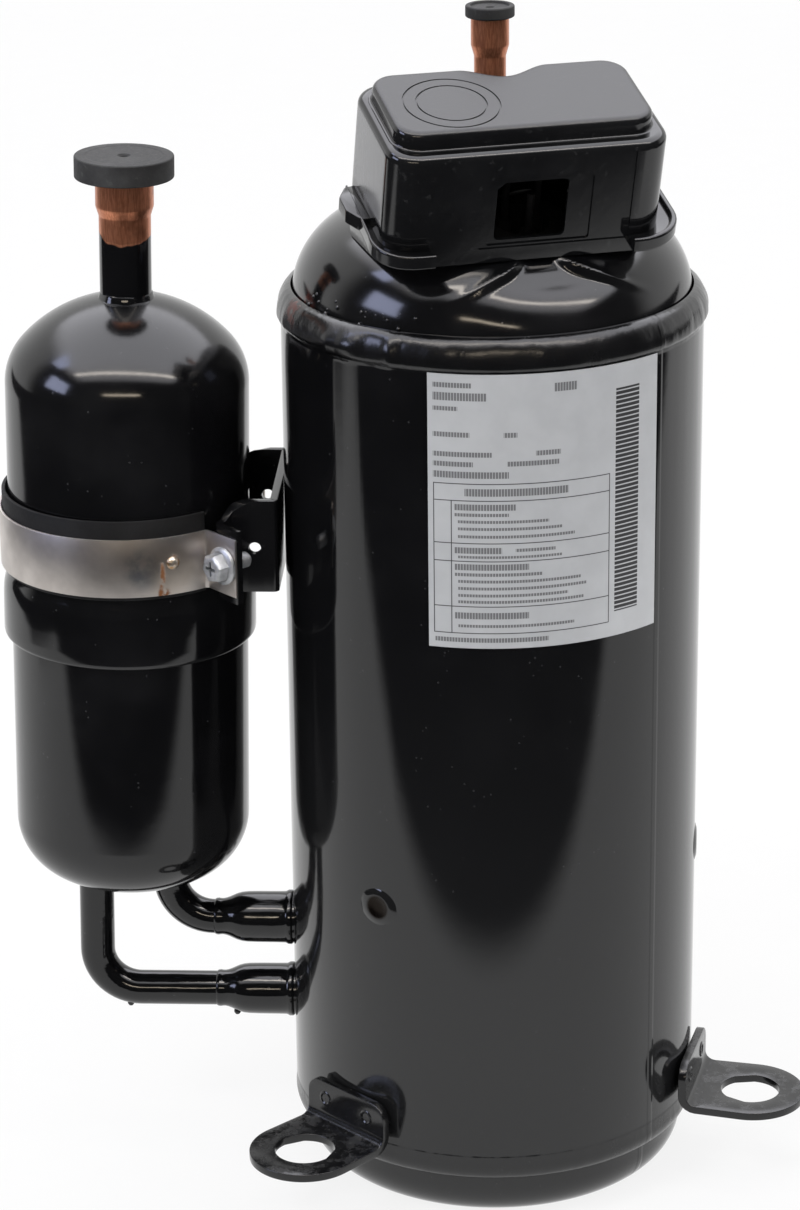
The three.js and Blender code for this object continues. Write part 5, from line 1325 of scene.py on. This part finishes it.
rim_low, rim_high = 3.5, 8.0
rim_section = rounded([
    (-0.6, rim_low, 0), (6.0, rim_low, 0.7), (6.0, rim_high, 0.8), (4.4, rim_high, 0.6),
    (3.9, 6.4, 0.8), (-0.6, 6.0, 0),
], 4)
right_rim = [(29.8, cover_front), (30.6, cover_front), *box_plan[:12]]
left_rim = [*box_plan[-12:], (-31.2, cover_front), (-30.4, cover_front)]
narrowed = [0.4, 0.52, 0.58, 0.66, 0.75, 0.84, 0.92, 0.97] + [1.0] * (len(left_rim) - 8)
ear_plan = rounded([
    (-43.2, 17.5, 0), (-46.5, 17.5, 2.5), (-49.6, 12.0, 2.5),
    (-49.6, 4.0, 2.5), (-46.5, -1.5, 2.5), (-43.2, -1.5, 0),
], 5)
trim = joined(
    strip_along(right_rim, rim_section, [1.0] * len(right_rim)),
    strip_along(left_rim, rim_section, narrowed),
    slab(ear_plan, rim_low, rim_high),
)
rim = shaped("cover_rim", *trim, cover_plastic)
seat_frame = Matrix((seat_across, seat_back, seat_up)).transposed().to_4x4()
for thing in (cover, rim):
    thing.data.transform(Matrix.Translation(seat_place * mm) @ seat_frame)
fitted(cover, "cover", "cover_plastic", "terminal_cover")
fitted(rim, "cover", "cover_plastic")


# Winding leads: three insulated wires in braided sleeves, led from the end of the winding up
# to the terminal's pins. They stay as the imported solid.
def lead_sleeve():
    made = Finish("lead_sleeve")
    braid = made.cells(1, place=made.stretched(1800, 1800, 700))
    tint = made.noise(150, 2)
    colour = made.tones(tint, 0.35, 0.7, (0.36, 0.3, 0.2), (0.5, 0.44, 0.32))
    return made.surface(colour, 0.5 + 0.2 * tint, 0.0, made.bump(braid, 0.08))


finished_as_is(lead_sleeve(), "winding_leads")


# Studio: a white table, dark past its front and sides where the gloss enamel mirrors it. Mirroring
# rays also find a painted room: a bright backdrop, a ceiling with a tube, a warm lamp low in front
# and two bluish windows at the left. The lamps that light the part are hidden from those rays.
floor_reach, table_front, table_side = 6.0, -0.265, 0.65
floor_mesh = bpy.data.meshes.new("table")
corners = [(x * floor_reach, y * floor_reach, 0) for x, y in ((-1, -1), (1, -1), (1, 1), (-1, 1))]
floor_mesh.from_pydata(corners, [], [(0, 1, 2, 3)])
table = placed_object("table", floor_mesh)
made = Finish("table_top")
seen, mirrored = [made.node("ShaderNodeLightPath", None, f"Is {ray} Ray") for ray in ("Camera", "Glossy")]
across, deep = made.axis(0), made.axis(1)
white = made.between(deep, table_front - 0.03, table_front + 0.03)
past = across.math("ABSOLUTE") - deep.math("MAXIMUM", 0.0) * 0.8
white = white * made.between(past, table_side + 0.05, table_side - 0.05)
lit = made.node("ShaderNodeBsdfPrincipled", {"Base Color": (0.86, 0.86, 0.87, 1), "Roughness": 0.8})
bright = made.mixed(made.noise(60, 3), (1.0, 1.0, 1.0), (0.985, 0.985, 0.985))
plain = made.node("ShaderNodeEmission", {0: bright, 1: 1.0})
backed = made.node("ShaderNodeMixShader", {0: 0.86, 1: lit, 2: plain})
mirror = made.mixed(white, (0.03, 0.03, 0.032), (1.0, 1.0, 1.0))
mirror = made.node("ShaderNodeEmission", {0: mirror, 1: 1.0})
first = made.node("ShaderNodeMixShader", {0: mirrored, 1: lit, 2: mirror})
first = made.node("ShaderNodeMixShader", {0: seen, 1: first, 2: backed})
made.node("ShaderNodeOutputMaterial", {0: first})
floor_mesh.materials.append(made.material)

world = bpy.data.worlds.new("studio")
bpy.context.scene.world = world
world.use_nodes = True
world.node_tree.nodes.clear()
sky = Tree(world.node_tree)
way = sky.node("ShaderNodeTexCoord", output=0)
seen, mirrored = [sky.node("ShaderNodeLightPath", None, f"Is {ray} Ray") for ray in ("Camera", "Glossy")]
side, ahead, above = [sky.node("ShaderNodeSeparateXYZ", {0: way}, k) for k in range(3)]
near_wall, left_wall = 0 - ahead, 0 - side


def window_in(wall, first, second):
    """A soft-edged rectangle on a wall: (value, low, high, soft) along it and up or away on it."""
    (a, *ends), (b, *others) = first, second
    return sky.span(a / wall, *ends) * sky.span(b / wall, *others)


backdrop = sky.between(ahead, -0.05, 0.3) * sky.between(above, 0.78, 0.6)
upward = sky.between(above, 0.45, 0.55)
ceiling = window_in(above, (side, -0.75, 1.1, 0.4), (ahead, -0.75, 1.2, 0.3)) * upward
tube = window_in(above, (side, -0.85, 1.1, 0.05), (ahead, -0.58, -0.5, 0.03)) * upward
lamp = window_in(near_wall, (side, -0.28, 0.33, 0.03), (above, 0.365, 0.42, 0.015))
lamp = lamp * sky.between(near_wall, 0.1, 0.2)
window = window_in(left_wall, (ahead, -0.68, -0.22, 0.05), (above, 0.27, 0.6, 0.05))
high_window = window_in(left_wall, (ahead, -0.14, 0.14, 0.03), (above, 0.92, 1.28, 0.04))
window = window.math("MAXIMUM", high_window) * sky.between(left_wall, 0.2, 0.3)
front_part = sky.between(ahead / above, -0.2, -0.6)
shine = sky.mixed(backdrop, (0.05, 0.05, 0.05), (1.0, 1.0, 1.0))
shine = sky.mixed(ceiling, shine, sky.mixed(front_part, (3.4, 3.4, 3.6), (2.3, 2.3, 2.4)))
for share, light in ((tube, (14.0, 13.0, 12.0)), (window, (4.6, 5.0, 7.0)), (lamp, (9.6, 8.3, 6.6))):
    shine = sky.mixed(share, shine, light)
soft_light = sky.mixed(sky.between(above, -0.3, 0.9), (0.6, 0.6, 0.61), (1.0, 1.0, 1.02))
colour = sky.mixed(seen, sky.mixed(mirrored, soft_light, shine), (1.0, 1.0, 1.0))
back = sky.node("ShaderNodeBackground", {0: colour, 1: 1.0})
sky.node("ShaderNodeOutputWorld", {0: back})
aim = Vector((-0.02, 0, 0.2))
for name, place, wide, tall, power, colour in (
    ("left_box", (-0.9, -0.9, 1.5), 0.5, 0.5, 9.0, (0.93, 0.96, 1.0)),
    ("strip_1", (-0.1, -0.35, 1.9), 1.6, 0.06, 5.0, (1.0, 0.95, 0.86)),
    ("strip_2", (0.1, 0.35, 1.9), 1.6, 0.06, 5.0, (1.0, 0.95, 0.86)),
):
    light = bpy.data.lights.new(name, "AREA")
    light.shape, light.size, light.size_y = "RECTANGLE", wide, tall
    light.energy, light.color = power, colour
    thing = placed_object(name, light)
    thing.location = place
    thing.rotation_euler = (Vector(place) - aim).to_track_quat("Z", "Y").to_euler()
    thing.visible_glossy = False

# Camera: a long lens in front of the compressor and above it, dipped by 20 degrees, and
# turned and rolled a little to lie over the photograph's view.
focal_pixels, photo_tall, film = 3826.188, 1210, 36.0
turn, dip, roll = radians(-2.845), radians(20.336), radians(-0.629)
forward = Vector((sin(turn) * cos(dip), cos(turn) * cos(dip), -sin(dip)))
right = Vector((cos(turn), -sin(turn), 0))
up = right.cross(forward)
axes = (right * cos(roll) + up * sin(roll), up * cos(roll) - right * sin(roll), -forward)
view = bpy.data.cameras.new("front_view")
view.sensor_width, view.lens = film, film * focal_pixels / photo_tall
view.clip_start, view.clip_end = 0.05, 30.0
camera = placed_object("front_view", view)
stand = Matrix.Translation(Vector((26.828, -1124.816, 602.010)) * mm)
camera.matrix_world = stand @ Matrix(axes).transposed().to_4x4()
bpy.context.scene.camera = camera
bpy.context.scene.view_settings.view_transform = "Standard"
